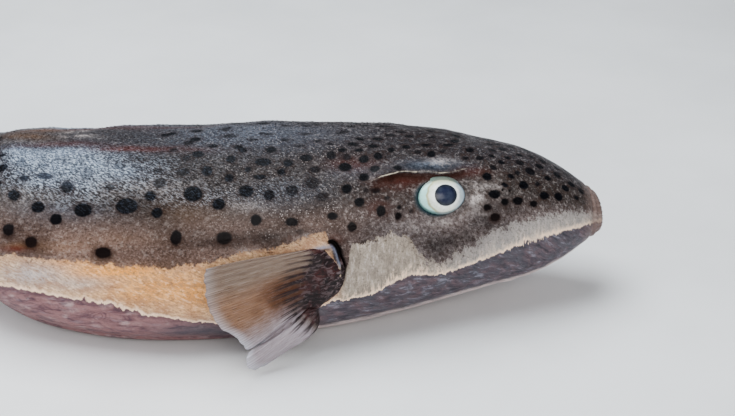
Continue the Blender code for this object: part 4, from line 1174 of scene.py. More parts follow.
class Maker:
    """Puts nodes into one tree and joins them."""

    def __init__(self, tree):
        self.tree = tree

    def node(self, kind, inputs=(), **settings):
        made = self.tree.nodes.new(kind)
        for key, value in settings.items():
            setattr(made, key, value)
        for key, value in dict(inputs).items():
            self.feed(made.inputs[key], value)
        return made

    def feed(self, socket, value):
        if isinstance(value, bpy.types.NodeSocket):
            self.tree.links.new(value, socket)
        else:
            socket.default_value = value

    def mark(self, name, output="Fac"):
        return self.node("ShaderNodeAttribute", attribute_name=name).outputs[output]

    def maths(self, operation, first, second=0.0, third=0.0):
        node = self.node("ShaderNodeMath", operation=operation)
        for socket, value in zip(node.inputs, (first, second, third)):
            self.feed(socket, value)
        return node.outputs[0]

    def span(self, value, low, high, start=0.0, end=1.0):
        """Eases from start to end while the value goes from low to high."""
        node = self.node("ShaderNodeMapRange", interpolation_type="SMOOTHSTEP")
        for socket, number in zip(node.inputs, (value, low, high, start, end)):
            self.feed(socket, number)
        return node.outputs[0]

    def blend(self, factor, first, second):
        node = self.node("ShaderNodeMix", data_type="RGBA")
        self.feed(node.inputs[0], factor)
        self.feed(node.inputs[6], first)
        self.feed(node.inputs[7], second)
        return node.outputs[2]

    def stretched(self, place, scale):
        node = self.node("ShaderNodeVectorMath", operation="MULTIPLY")
        self.feed(node.inputs[0], place)
        self.feed(node.inputs[1], scale)
        return node.outputs[0]

    def grain(self, place, scale, detail=2.0, roughness=0.5, distortion=0.0):
        inputs = {
            "Vector": place, "Scale": scale, "Detail": detail, "Roughness": roughness,
            "Distortion": distortion,
        }
        return self.node("ShaderNodeTexNoise", inputs).outputs[0]

    def cells(self, place, scale):
        return self.node("ShaderNodeTexVoronoi", {"Vector": place, "Scale": scale}).outputs["Distance"]

    def product(self, *values):
        total = values[0]
        for value in values[1:]:
            total = self.maths("MULTIPLY", total, value)
        return total

    def coat(self, colour, over, *masks):
        """Lays one colour over another, as far as the product of the masks says."""
        return self.blend(self.product(*masks), colour, over)

    def coats(self, colour, *layers):
        """Lays colours one over the other, each as far as the product of its masks says."""
        for over, *masks in layers:
            colour = self.coat(colour, over, *masks)
        return colour

    def finish(self, shader, colour, roughness, height, strength, distance, **settings):
        """Joins colour, roughness and bump to a shader and sets its other sockets."""
        self.feed(shader.inputs["Base Color"], colour)
        self.feed(shader.inputs["Roughness"], roughness)
        bump = self.node("ShaderNodeBump", {"Strength": strength, "Distance": distance, "Height": height})
        self.feed(shader.inputs["Normal"], bump.outputs[0])
        for name, value in settings.items():
            shader.inputs[SOCKETS[name]].default_value = value


def paint(red, green, blue):
    """Linear colour from the 0 to 255 values of a paint chart."""
    channels = [c / 255 for c in (red, green, blue)]
    return (*[c / 12.92 if c <= 0.04045 else ((c + 0.055) / 1.055) ** 2.4 for c in channels], 1.0)


def new_material(name):
    material = bpy.data.materials.new(name)
    material.use_nodes = True
    maker = Maker(material.node_tree)
    return material, maker, material.node_tree.nodes["Principled BSDF"]


# Colours of the skin
BACK_DARK = paint(20, 17, 18)
BACK_LIGHT = paint(70, 64, 62)
BACK_CROWN = paint(40, 42, 52)
FLANK = paint(124, 103, 95)
FLANK_DEEP = paint(62, 46, 38)
SPOT_LOW = paint(24, 11, 8)
SPOT_HIGH = paint(12, 12, 16)
SPOT_SLATE = paint(46, 54, 68)
HALO = paint(46, 26, 18)
BAND_SILVER = paint(212, 178, 144)
BAND_TAN = paint(170, 134, 108)
BAND_GOLD = paint(238, 166, 84)
BAND_COOL = paint(186, 182, 184)
BAND_EDGE = paint(255, 226, 200)
CHEEK = paint(168, 160, 150)
CHEEK_GREY = paint(128, 122, 114)
CHEEK_COOL = paint(152, 154, 158)
BELLY_SIDE = paint(148, 113, 113)
BELLY_VEIN = paint(96, 72, 80)
BELLY_PALE = paint(212, 196, 194)
DARK_MARK_AND_SHADE = paint(26, 20, 20)
WARMTH = paint(214, 160, 104)
COOL_GREY_AND_SHEEN = paint(104, 114, 132)
SHEEN_BLUE = paint(178, 188, 200)
REDNESS = paint(92, 36, 24)
PALENESS = paint(222, 212, 208)
EYE_RIM_TEAL = paint(34, 56, 62)
BROW_BLUE = paint(42, 46, 54)
BROW_EDGE = paint(206, 196, 178)
BROW_SHADOW = paint(56, 30, 22)
RECESS_SHADOW = paint(14, 11, 12)
FLAP_BLUE = paint(134, 142, 164)
LIP_PALE = paint(126, 108, 102)
THROAT_GREY = paint(80, 82, 90)
FOLD_SHADE = paint(50, 49, 56)
FOLD_HIGHLIGHT = paint(160, 160, 174)
HEAD_GREY = paint(104, 104, 108)
BACK_SHEEN = paint(150, 164, 182)
SLIT_BROWN = paint(48, 32, 26)


def skin_colour_group():
    """Group that gives the skin's colour, sheen mask and relief from the markings kept on its points."""
    tree = bpy.data.node_groups.new("skin_markings", "ShaderNodeTree")
    for output, kind in (("Colour", "Color"), ("Sheen", "Float"), ("Relief", "Float")):
        tree.interface.new_socket(name=output, in_out="OUTPUT", socket_type="NodeSocket" + kind)
    make = Maker(tree)
    end = make.node("NodeGroupOutput")
    place = make.mark("skin_place", "Vector")
    rise, share = make.mark("rise"), make.mark("share")
    broad = make.grain(place, 38.0, 4.0, 0.55)
    mottle = make.grain(place, 150.0, 4.0, 0.6)
    fine = make.grain(place, 620.0, 3.0, 0.6)
    grit = make.grain(place, 1050.0, 3.0, 0.7)
    lean = make.node("ShaderNodeMapping", {"Vector": place, "Rotation": (0, 0, radians(34))}).outputs[0]
    squiggle_place = make.stretched(lean, (0.36, 1.0, 1.0))
    squiggle = make.grain(squiggle_place, 1600.0, 2.0, 0.5, 0.8)
    squiggle_dark = make.span(squiggle, 0.52, 0.42)
    squiggle_glint = make.span(squiggle, 0.53, 0.60)

    upper = make.span(rise, radians(16), radians(44))
    trunk = make.span(share, 0.17, 0.27)
    rough_back = make.product(make.span(rise, radians(32), radians(50)), trunk)
    squiggly = make.product(
        make.span(rise, radians(30), radians(46)), make.span(share, 0.24, 0.40, 0.25, 1.0),
        make.span(rise, radians(80), radians(64), 0.60, 1.0), make.span(share, 0.72, 0.58, 0.2, 1.0),
    )
    flank = make.blend(make.product(make.span(broad, 0.35, 0.65), 0.55), FLANK, FLANK_DEEP)
    flank = make.coat(flank, HEAD_GREY, make.span(share, 0.31, 0.22, 0.0, 0.5))
    back = make.blend(make.product(make.span(mottle, 0.35, 0.65), 0.3), BACK_LIGHT, BACK_DARK)
    back = make.coat(back, BACK_CROWN, make.span(rise, radians(50), radians(80)), 0.6)
    colour = make.blend(upper, flank, back)
    colour = make.coats(
        colour,
        (BACK_DARK, make.span(grit, 0.50, 0.66), 0.60),
        (PALENESS, make.span(grit, 0.46, 0.30), 0.17),
    )

    blotch = make.grain(place, 460.0, 4.0, 0.65, 0.4)
    blotchy = make.span(share, 0.34, 0.24, 0.30, 0.54)
    colour = make.coats(
        colour,
        (FLANK_DEEP, make.span(blotch, 0.50, 0.62), blotchy),
        (PALENESS, make.span(blotch, 0.47, 0.36), blotchy, 0.34),
    )

    ragged = make.maths("SUBTRACT", make.grain(place, 300.0, 4.0, 0.65), 0.5)
    cool_and_sheen, warm, red = make.mark("cool_and_sheen"), make.mark("warm"), make.mark("red")
    dark, pale = make.mark("dark"), make.mark("pale")
    uneven = make.span(mottle, 0.25, 0.7, 0.55, 1.0)
    # Cool grey, and silver where the cool patches are strongest: partly a cool tint of the skin, partly a
    # painted bluish sheen on the upper back
    colour = make.coats(
        colour,
        (COOL_GREY_AND_SHEEN, cool_and_sheen, uneven, 0.6),
        (BACK_SHEEN, make.span(cool_and_sheen, 0.45, 0.95), uneven, 0.62),
    )
    patchy = make.product(make.span(mottle, 0.30, 0.62), make.span(fine, 0.36, 0.60, 0.20, 1.0))
    # Pale, dark, warm and red patches; among them painted highlights on the crown and the brow lobe, and
    # painted shadow under the brow and by the gill opening
    colour = make.coats(
        colour,
        (PALENESS, pale, patchy, 0.95),
        (DARK_MARK_AND_SHADE, dark, uneven, 0.85),
        (WARMTH, warm, uneven, make.span(rise, 0.5, 0.9, 0.20, 0.34)),
        (REDNESS, red, uneven, 0.85),
        (BACK_DARK, squiggle_dark, squiggly, 0.75),
    )
    # Painted highlights: pale blue glints along the squiggles of the upper back, strongest under the cool
    # patches
    painted_sheen = make.maths("MULTIPLY_ADD", cool_and_sheen, 0.80, 0.06)
    colour = make.coat(colour, SHEEN_BLUE, squiggle_glint, squiggly, painted_sheen)
    dotted = make.product(
        make.span(share, 0.22, 0.28), make.span(share, 0.44, 0.36), make.span(rise, 0.25, 0.5),
    )
    dots = make.span(make.cells(place, 760.0), 0.30, 0.16)
    colour = make.coat(colour, PALENESS, dots, dotted, make.span(mottle, 0.40, 0.62), 0.40)

    over, brow = make.mark("brow_above"), make.mark("brow_strength")
    lobe_blue = make.product(
        make.span(over, 0.0, 0.0008), make.span(over, 0.0035, 0.0085, 1.0, 0.0), brow,
        make.span(cool_and_sheen, 0.15, 0.6, 0.15, 1.0),
    )
    colour = make.coat(colour, BROW_BLUE, lobe_blue, make.span(fine, 0.3, 0.6, 0.45, 0.95))
    gleam = make.product(
        lobe_blue, make.span(over, 0.0014, 0.0030), pale, make.span(blotch, 0.46, 0.58), 0.8,
    )
    colour = make.coat(colour, PALENESS, gleam)

    spot = make.maths("MULTIPLY_ADD", ragged, 0.0018, make.mark("spot"))
    strength = make.maths("MINIMUM", make.maths("MULTIPLY", make.mark("spot_strength"), 1.25), 1.0)
    halo = make.product(
        make.span(spot, 0.0, 0.0028, 1.0, 0.0), strength, make.span(rise, 0.2, 0.5, 0.7, 0.25),
    )
    colour = make.coat(colour, HALO, halo)
    inside = make.span(spot, -0.0007, 0.0006, 1.0, 0.0)
    spot_colour = make.blend(make.span(rise, radians(8), radians(36)), SPOT_LOW, SPOT_HIGH)
    # Under the cool patches the spots turn slate, partly a painted sheen, and pale flecks along the
    # squiggles paint glints on them
    spot_colour = make.coat(spot_colour, SPOT_SLATE, make.span(cool_and_sheen, 0.40, 0.95), 0.85)
    spot_sheen = make.product(squiggle_glint, squiggly, 0.16)
    spot_colour = make.coat(spot_colour, COOL_GREY_AND_SHEEN, spot_sheen)
    colour = make.coat(colour, spot_colour, inside, strength)

    streak = make.grain(make.stretched(place, (0.22, 1.0, 1.0)), 420.0, 3.0, 0.6)
    fray = make.maths(
        "SUBTRACT", make.grain(make.stretched(place, (1.0, 0.55, 1.0)), 260.0, 5.0, 0.75), 0.5,
    )
    band_noise = make.maths("MULTIPLY", fray, make.span(share, 0.30, 0.27, 0.008, 0.015))
    above_band = make.maths("ADD", make.mark("band"), band_noise)
    teeth = make.grain(make.stretched(place, (1.0, 0.3, 1.0)), 430.0, 3.0, 0.6)
    toothed = make.span(broad, 0.42, 0.60, 0.0035, 0.0085)
    keel_noise = make.maths("MULTIPLY", make.maths("SUBTRACT", teeth, 0.5), toothed)
    above_keel = make.maths("ADD", make.mark("keel"), keel_noise)
    cross_streak = make.grain(make.stretched(lean, (0.38, 1.0, 1.0)), 880.0, 3.0, 0.7)
    fibres = make.grain(make.stretched(place, (1.0, 0.25, 0.6)), 700.0, 4.0, 0.7)
    band_colour = make.blend(make.span(mottle, 0.35, 0.65), BAND_SILVER, BAND_TAN)
    band_colour = make.coats(
        band_colour,
        (BAND_GOLD, warm, 0.95),
        (BAND_COOL, cool_and_sheen, 0.9),
        (BAND_TAN, make.span(streak, 0.5, 0.7), 0.4),
        (BAND_TAN, make.span(cross_streak, 0.5, 0.62), 0.65),
        (BAND_EDGE, make.span(cross_streak, 0.46, 0.36), 0.35),
    )
    cheek = make.blend(make.product(make.span(mottle, 0.4, 0.65), 0.5), CHEEK, CHEEK_GREY)
    cheek = make.coats(
        cheek,
        (CHEEK_GREY, make.span(fibres, 0.5, 0.64), 0.75),
        (PALENESS, make.span(fibres, 0.46, 0.34), 0.5),
    )
    root = make.product(make.span(above_keel, 0.0065, 0.0010), make.span(fibres, 0.52, 0.42), 0.8)
    cheek = make.coats(
        cheek,
        (BAND_EDGE, root),
        (CHEEK_GREY, make.span(above_band, -0.0060, -0.0005), make.span(fine, 0.48, 0.62), 0.5),
        (CHEEK_COOL, make.span(share, 0.21, 0.14), 0.6),
    )
    band_colour = make.coats(
        band_colour,
        (cheek, make.span(share, 0.272, 0.29, 0.9, 0.0)),
        (FLANK_DEEP, make.span(grit, 0.5, 0.68), 0.40),
    )
    flecks = make.product(make.span(above_band, -0.0050, -0.0006), make.span(fine, 0.54, 0.66), 0.6)
    band_colour = make.coats(
        band_colour,
        (FLANK_DEEP, flecks),
        (SLIT_BROWN, dark, 0.7),
    )
    # Painted highlight: a pale line along the foot of the band
    keel_edge_highlight = make.span(above_keel, 0.0002, 0.0026, 1.0, 0.0)
    band_colour = make.coat(band_colour, BAND_EDGE, keel_edge_highlight, make.span(mottle, 0.3, 0.6, 0.35, 0.9))

    vein = make.grain(make.stretched(place, (0.5, 1.0, 1.0)), 240.0, 5.0, 0.65, 0.8)
    belly_colour = make.blend(make.span(vein, 0.42, 0.68), BELLY_SIDE, BELLY_VEIN)
    belly_colour = make.coats(
        belly_colour,
        (BELLY_PALE, make.span(mottle, 0.5, 0.75), 0.4),
        (BELLY_VEIN, make.span(grit, 0.5, 0.7), 0.35),
    )
    keel_shade = make.product(make.span(above_keel, -0.0036, -0.0006), 0.55)
    belly_colour = make.coat(belly_colour, BELLY_VEIN, keel_shade)
    grey_throat = make.product(
        make.span(share, 0.27, 0.40, 1.0, 0.0), make.span(mottle, 0.3, 0.65, 0.6, 0.9),
    )
    belly_colour = make.coat(belly_colour, THROAT_GREY, grey_throat)
    # Dark and pale streaks on the throat: painted shade and painted highlights of folds
    fold = make.grain(make.stretched(place, (0.40, 1.0, 1.0)), 330.0, 5.0, 0.72, 0.4)
    folded = make.span(share, 0.40, 0.30, 0.35, 1.0)
    belly_colour = make.coats(
        belly_colour,
        (FOLD_SHADE, make.span(fold, 0.50, 0.66), folded, 0.60),
        (FOLD_HIGHLIGHT, make.span(fold, 0.48, 0.30), folded, 0.55),
        (THROAT_GREY, cool_and_sheen, 0.95),
    )
    drop = make.maths("MULTIPLY_ADD", make.maths("SUBTRACT", vein, 0.5), 0.3, rise)
    drop = make.maths("ADD", drop, make.span(share, 0.26, 0.40, 0.0, radians(9)))
    low = make.product(
        make.span(drop, radians(-42), radians(-52)), make.span(share, 0.30, 0.42, 0.85, 0.35),
    )
    belly_colour = make.coats(
        belly_colour,
        (BELLY_PALE, low),
        (DARK_MARK_AND_SHADE, dark, 0.5),
    )

    vent = make.maths("MULTIPLY_ADD", ragged, 0.0026, make.mark("vent"))
    whorl = make.maths("SINE", make.maths("MULTIPLY", vent, 2 * math.pi / 0.0016))
    whorl = make.product(make.span(whorl, -0.2, 0.9), make.span(vent, 0.0004, 0.0030, 1.0, 0.0), 0.6)
    belly_colour = make.coat(belly_colour, BELLY_VEIN, whorl)

    in_band = make.span(above_band, -0.0004, 0.0008, 1.0, 0.0)
    colour = make.coat(colour, band_colour, in_band)
    under_keel = make.span(above_keel, -0.0006, 0.0002, 1.0, 0.0)
    colour = make.coat(colour, belly_colour, under_keel)

    eye = make.mark("eye_reach")
    teal = make.product(make.span(eye, 0.0004, 0.0030, 1.0, 0.0), make.mark("lid_shade"))
    colour = make.coat(colour, EYE_RIM_TEAL, teal)
    # Painted shadow under the brow's shelf
    brow_shadow = make.product(
        make.span(over, -0.0010, -0.0003, 1.0, 0.0), make.span(over, -0.0075, -0.002), brow, 0.8,
    )
    colour = make.coat(colour, BROW_SHADOW, brow_shadow)
    line_in = make.product(
        make.span(over, -0.0004, -0.0001), make.span(over, 0.0, 0.0003, 1.0, 0.0), brow,
        make.span(mottle, 0.40, 0.56, 0.10, 0.90),
    )
    # Pale brow line, painted shade in the furrow under the gill flap's strip, and the strip's blue-grey
    # colour
    colour = make.coats(
        colour,
        (BROW_EDGE, line_in),
        (SLIT_BROWN, make.mark("furrow"), 0.8),
        (FLAP_BLUE, make.mark("flap"), make.span(mottle, 0.3, 0.6, 0.6, 0.95)),
    )
    # Painted shadow: black in the gill slit and in the pits of the nostrils
    slit = make.product(make.span(make.mark("slit_reach"), 0.0006, 0.0016, 1.0, 0.0), 0.95)
    colour = make.coats(
        colour,
        (RECESS_SHADOW, slit),
        (RECESS_SHADOW, make.span(make.mark("pit"), 0.25, 0.8)),
    )
    # Paler lips, and painted shade that darkens the inside of the mouth
    lips = make.span(make.maths("MULTIPLY_ADD", ragged, 0.02, share), 0.0, 0.020, 0.75, 0.0)
    colour = make.coats(
        colour,
        (LIP_PALE, lips),
        (DARK_MARK_AND_SHADE, make.span(make.mark("lip"), 0.35, 0.8)),
    )

    wrinkle = make.grain(make.stretched(place, (0.55, 1.0, 1.0)), 330.0, 4.0, 0.6, 0.5)
    pores = make.cells(place, 900.0)
    quiet = make.maths("MULTIPLY", wrinkle, 0.8)
    rough = make.product(squiggle, rough_back, 2.2)
    relief = make.maths("ADD", quiet, rough)
    relief = make.maths("ADD", relief, make.maths("MULTIPLY", pores, 0.35))
    relief = make.maths("ADD", relief, make.maths("MULTIPLY", fine, 0.35))
    sheen = make.span(mottle, 0.3, 0.7, 0.30, 0.48)
    sheen = make.maths("ADD", sheen, make.product(inside, -0.05))
    make.feed(end.inputs["Colour"], colour)
    make.feed(end.inputs["Sheen"], sheen)
    make.feed(end.inputs["Relief"], relief)
    return tree


def skin_material(group):
    material, make, shader = new_material("skin")
    marks = make.node("ShaderNodeGroup", node_tree=group)
    colour, sheen, relief = (marks.outputs[name] for name in ("Colour", "Sheen", "Relief"))
    make.finish(
        shader, colour, sheen, relief, 0.75, 0.00035, specular=0.09, coat=0.03, coat_roughness=0.22,
    )
    return material


def spinule_material(group):
    """Prickles that carry the colour of the skin they grow from, a little darker, and cooler at the tip."""
    material, make, shader = new_material("spinule")
    marks = make.node("ShaderNodeGroup", node_tree=group)
    tip = make.span(make.mark("tip"), 0.2, 1.0, 0.0, 0.25)
    colour = make.blend(tip, marks.outputs["Colour"], COOL_GREY_AND_SHEEN)
    colour = make.coat(colour, BACK_DARK, 0.35)
    grain = make.grain(make.node("ShaderNodeTexCoord").outputs["Object"], 4000.0)
    roughness = make.span(make.mark("tip"), 0.0, 1.0, 0.60, 0.45)
    make.finish(shader, colour, roughness, grain, 0.2, 0.00005, specular=0.08)
    return material


EYE_CREAM = paint(226, 232, 216)
EYE_CYAN = paint(178, 224, 216)
EYE_OLIVE = paint(168, 168, 126)
EYE_BRIGHT = paint(246, 250, 246)
EYE_GREY = paint(168, 184, 196)
PUPIL_BLUE = paint(36, 42, 66)
PUPIL_RIM = paint(26, 30, 38)


def eye_material():
    """Pale iris in soft rings round a clouded slate pupil, darker and teal at the lid."""
    material, make, shader = new_material("eye")
    place, reach = make.mark("eye_place", "Vector"), make.mark("pupil_reach")
    rays = make.grain(make.stretched(place, (1.0, 1.0, 0.2)), 900.0, 4.0, 0.6)
    cloud = make.grain(place, 260.0, 3.0, 0.5)
    parts = make.node("ShaderNodeSeparateXYZ", {"Vector": place})
    ahead, above = parts.outputs[0], parts.outputs[1]
    behind = make.span(ahead, -0.001, -0.005)
    off = make.node(
        "ShaderNodeCombineXYZ", {"X": make.maths("SUBTRACT", ahead, CRESCENT_AHEAD), "Y": above},
    )
    crescent = make.node(
        "ShaderNodeVectorMath", {"Vector": off.outputs[0]}, operation="LENGTH",
    ).outputs["Value"]
    crescent = make.maths("MULTIPLY_ADD", make.maths("SUBTRACT", cloud, 0.5), 0.0016, crescent)
    outer = make.product(make.span(crescent, CRESCENT_REACH - 0.0002, CRESCENT_REACH + 0.0004), behind)
    groove = make.product(
        make.span(crescent, CRESCENT_REACH - 0.0010, CRESCENT_REACH - 0.0002),
        make.span(crescent, CRESCENT_REACH + 0.0001, CRESCENT_REACH + 0.0006, 1.0, 0.0), behind,
    )
    colour = make.blend(make.span(reach, 0.0085, 0.0125), EYE_CREAM, EYE_GREY)
    colour = make.coats(
        colour,
        (EYE_GREY, make.span(ahead, 0.004, 0.011, 0.0, 0.8)),
        (EYE_CYAN, outer),
        (EYE_OLIVE, groove, 0.85),
    )
    bright = make.product(make.span(reach, 0.0090, 0.0072), make.span(cloud, 0.3, 0.6, 0.5, 1.0))
    colour = make.coat(colour, EYE_BRIGHT, bright)
    rings = make.maths("SINE", make.maths("MULTIPLY", reach, 2 * math.pi / 0.0026))
    # Soft grey rings, olive over the top as painted shade under the lid, and faint blue streaks
    colour = make.coats(
        colour,
        (EYE_GREY, make.span(rings, -1.0, 1.0), make.span(cloud, 0.3, 0.7), 0.16),
        (EYE_OLIVE, make.span(above, 0.0050, 0.0080, 0.0, 0.55)),
        (PUPIL_BLUE, make.span(rays, 0.45, 0.7), 0.12),
    )
    # Painted shade: dark teal where the eyeball goes under the lid
    rim = make.span(make.mark("opening"), -0.0007, 0.0004)
    colour = make.coat(colour, EYE_RIM_TEAL, rim, 0.7)
    pupil = make.blend(make.span(reach, 0.0036, PUPIL_RADIUS), PUPIL_BLUE, PUPIL_RIM)
    pupil = make.coat(pupil, EYE_GREY, make.span(cloud, 0.4, 0.7), 0.06)
    ragged = make.maths("MULTIPLY_ADD", make.maths("SUBTRACT", rays, 0.5), 0.0005, reach)
    colour = make.coat(colour, pupil, make.span(ragged, PUPIL_RADIUS - 0.0004, PUPIL_RADIUS, 1.0, 0.0))
    wetness = make.span(cloud, 0.3, 0.7, 0.26, 0.36)
    make.finish(shader, colour, wetness, rays, 0.12, 0.0001, specular=0.3, coat=0.35, coat_roughness=0.22)
    return material


BEAK_IVORY = paint(232, 222, 196)
BEAK_STAIN = paint(176, 150, 112)
BEAK_SEAM = paint(110, 84, 60)


def beak_material():
    """Ivory beak with growth lines, stained towards the gum and along the suture."""
    material, make, shader = new_material("beak")
    place = make.node("ShaderNodeTexCoord").outputs["Object"]
    lines = make.grain(make.stretched(place, (0.3, 0.3, 3.0)), 900.0, 3.0, 0.6)
    stain = make.grain(place, 220.0, 4.0, 0.6)
    colour = make.blend(make.span(lines, 0.4, 0.7), BEAK_IVORY, BEAK_STAIN)
    colour = make.coat(colour, BEAK_SEAM, make.span(stain, 0.45, 0.75), 0.6)
    make.finish(shader, colour, make.span(stain, 0.3, 0.7, 0.22, 0.42), lines, 0.4, 0.00012)
    return material


FIN_TAN = paint(130, 113, 101)
FIN_PEACH = paint(146, 108, 82)
FIN_FOLD_HIGHLIGHT = paint(112, 98, 100)
FIN_RAY = paint(88, 68, 54)
FIN_ORANGE = paint(88, 48, 16)
FIN_BASE = paint(34, 22, 24)
FIN_BASE_RED = paint(66, 32, 32)
FIN_PINK = paint(176, 166, 174)
FIN_TIP = paint(198, 198, 208)
FIN_DUSK = paint(86, 74, 68)


def pectoral_material():
    """Fin with a dark fleshy base, brown rays, an orange middle and pale pink lower tips."""
    material, make, shader = new_material("pectoral_fin")
    along, across, ray = make.mark("along"), make.mark("across"), make.mark("ray")
    place = make.node("ShaderNodeTexCoord").outputs["Object"]
    line_place = make.node(
        "ShaderNodeCombineXYZ", {"X": across, "Y": make.maths("MULTIPLY", along, 0.06)},
    ).outputs[0]
    lines = make.grain(line_place, 190.0, 4.0, 0.7)
    patches = make.grain(place, 130.0, 4.0, 0.6)
    fine = make.grain(place, 700.0, 3.0, 0.6)
    uneven = make.maths("SUBTRACT", patches, 0.5)
    reach = make.maths("MULTIPLY_ADD", uneven, 0.22, along)
    lower = make.span(make.maths("MULTIPLY_ADD", uneven, 0.2, across), 0.52, 0.78)
    middle = make.product(make.span(across, 0.22, 0.42), make.span(across, 0.58, 0.8, 1.0, 0.0))
    colour = make.blend(make.product(middle, make.span(reach, 0.35, 0.55), 0.75), FIN_TAN, FIN_PEACH)
    orange = make.product(make.span(reach, 0.26, 0.38), make.span(reach, 0.5, 0.80, 1.0, 0.0), middle)
    colour = make.coat(colour, FIN_ORANGE, orange)
    pink = make.product(lower, make.span(reach, 0.3, 0.5), 0.92)
    colour = make.coats(
        colour,
        (FIN_PINK, pink),
        (FIN_RAY, make.span(lines, 0.50, 0.62), make.span(across, 0.5, 0.8, 0.55, 0.35)),
        (FIN_TIP, make.span(lines, 0.47, 0.38), make.span(across, 0.5, 0.8, 0.12, 0.3)),
        (FIN_RAY, ray, make.span(reach, 0.35, 0.9, 0.30, 0.12)),
    )
    tips = make.product(make.span(along, 0.90, 1.0), make.span(across, 0.3, 0.7, 0.25, 0.75))
    colour = make.coat(colour, FIN_TIP, tips)
    folds = make.grain(make.stretched(place, (1.0, 1.0, 2.0)), 300.0, 4.0, 0.6, 0.6)
    base_colour = make.blend(make.span(patches, 0.4, 0.65), FIN_BASE, FIN_BASE_RED)
    # Painted highlights on the crests of the base's folds and painted shadow in their troughs, following
    # the folds' bump
    base_colour = make.coats(
        base_colour,
        (FIN_FOLD_HIGHLIGHT, make.span(folds, 0.5, 0.62), make.span(along, 0.18, 0.06, 0.45, 0.85)),
        (RECESS_SHADOW, make.span(folds, 0.47, 0.36), 0.7),
    )
    ends = make.maths("MULTIPLY_ADD", ray, 0.08, make.span(across, 0.08, 0.5, 0.24, 0.42))
    ends = make.maths("ADD", ends, make.span(across, 0.75, 0.95, 0.0, -0.06))
    base = make.maths("SUBTRACT", ends, reach)
    fingers = make.product(
        make.span(base, -0.20, 0.04), make.span(ray, 0.1, 0.7, 0.4, 1.0),
        make.span(across, 0.05, 0.4, 0.45, 1.0),
    )
    colour = make.coats(
        colour,
        (FIN_BASE, fingers),
        (base_colour, make.span(base, -0.02, 0.08)),
    )
    clear = make.product(make.span(along, 0.4, 1.0), make.span(ray, 0.2, 0.8, 1.0, 0.0), 0.35)
    make.feed(shader.inputs["Alpha"], make.maths("SUBTRACT", 1.0, clear))
    height = make.maths("ADD", lines, make.maths("MULTIPLY", fine, 0.5))
    height = make.maths("ADD", height, make.product(folds, make.span(along, 0.45, 0.2, 0.0, 1.0), 2.0))
    wetness = make.span(fine, 0.3, 0.7, 0.32, 0.5)
    make.finish(
        shader, colour, wetness, height, 0.45, 0.0003, specular=0.25, coat=0.08, coat_roughness=0.2,
    )
    return material


def tail_fin_material(name, base_reach, tip_colour, stem=False):
    """Dusky fin with darker rays and a spotted base; on a stem the base has the flank's colours."""
    material, make, shader = new_material(name)
    along, ray = make.mark("along"), make.mark("ray")
    place = make.node("ShaderNodeTexCoord").outputs["Object"]
    patches = make.grain(place, 110.0, 4.0, 0.6)
    fine = make.grain(place, 700.0, 3.0, 0.6)
    line_place = make.node(
        "ShaderNodeCombineXYZ", {"X": make.mark("across"), "Y": make.maths("MULTIPLY", along, 0.06)},
    )
    lines = make.grain(line_place.outputs[0], 120.0, 3.0, 0.6)
    colour = make.blend(make.span(patches, 0.35, 0.65, 0.15, 0.65), FIN_DUSK, FIN_TAN)
    colour = make.coats(
        colour,
        (FIN_RAY, ray, 0.75),
        (FIN_BASE, make.span(lines, 0.5, 0.64), 0.55),
        (tip_colour, make.span(along, 0.72, 1.0), 0.6),
    )
    reach = make.maths("MULTIPLY_ADD", make.maths("SUBTRACT", patches, 0.5), 0.25, along)
    base_colour = FLANK_DEEP
    if stem:
        across = make.mark("across")
        base_colour = make.blend(make.span(across, 0.12, 0.40), BACK_DARK, FLANK)
        base_colour = make.coats(
            base_colour,
            (BAND_SILVER, make.span(across, 0.46, 0.52)),
            (BELLY_SIDE, make.span(across, 0.86, 0.92)),
            (FLANK_DEEP, make.span(fine, 0.46, 0.66), 0.45),
        )
    colour = make.coat(colour, base_colour, make.span(reach, 0.0, base_reach, 1.0, 0.0))
    spots = make.cells(place, 130.0)
    spotted = make.product(
        make.span(spots, 0.26, 0.36, 1.0, 0.0), make.span(reach, 0.1, base_reach * 1.6, 1.0, 0.0),
    )
    colour = make.coat(colour, SPOT_LOW, spotted)
    clear = make.product(make.span(along, 0.3, 1.0), make.span(ray, 0.2, 0.8, 1.0, 0.0), 0.35)
    make.feed(shader.inputs["Alpha"], make.maths("SUBTRACT", 1.0, clear))
    height = make.maths("ADD", lines, make.maths("MULTIPLY", fine, 0.5))
    wetness = make.span(fine, 0.3, 0.7, 0.34, 0.52)
    make.finish(shader, colour, wetness, height, 0.5, 0.0003, coat=0.15, coat_roughness=0.25)
    return material


# Prickles of the back and the belly: most for each square metre, least gap and length
BACK_SPINULES = (200000.0, 0.0020, 0.0011)
BELLY_SPINULES = (260000.0, 0.0018, 0.00099)
SPINULE_RADIUS, SPINULE_STRAY = 0.00020, 0.22
# Unwrap of the skin: metres that its map spans, the map's margin, and each prickle's patch on it
MAP_SPAN, MAP_MARGIN, PATCH_SIZE = 0.64, 0.02, 0.003


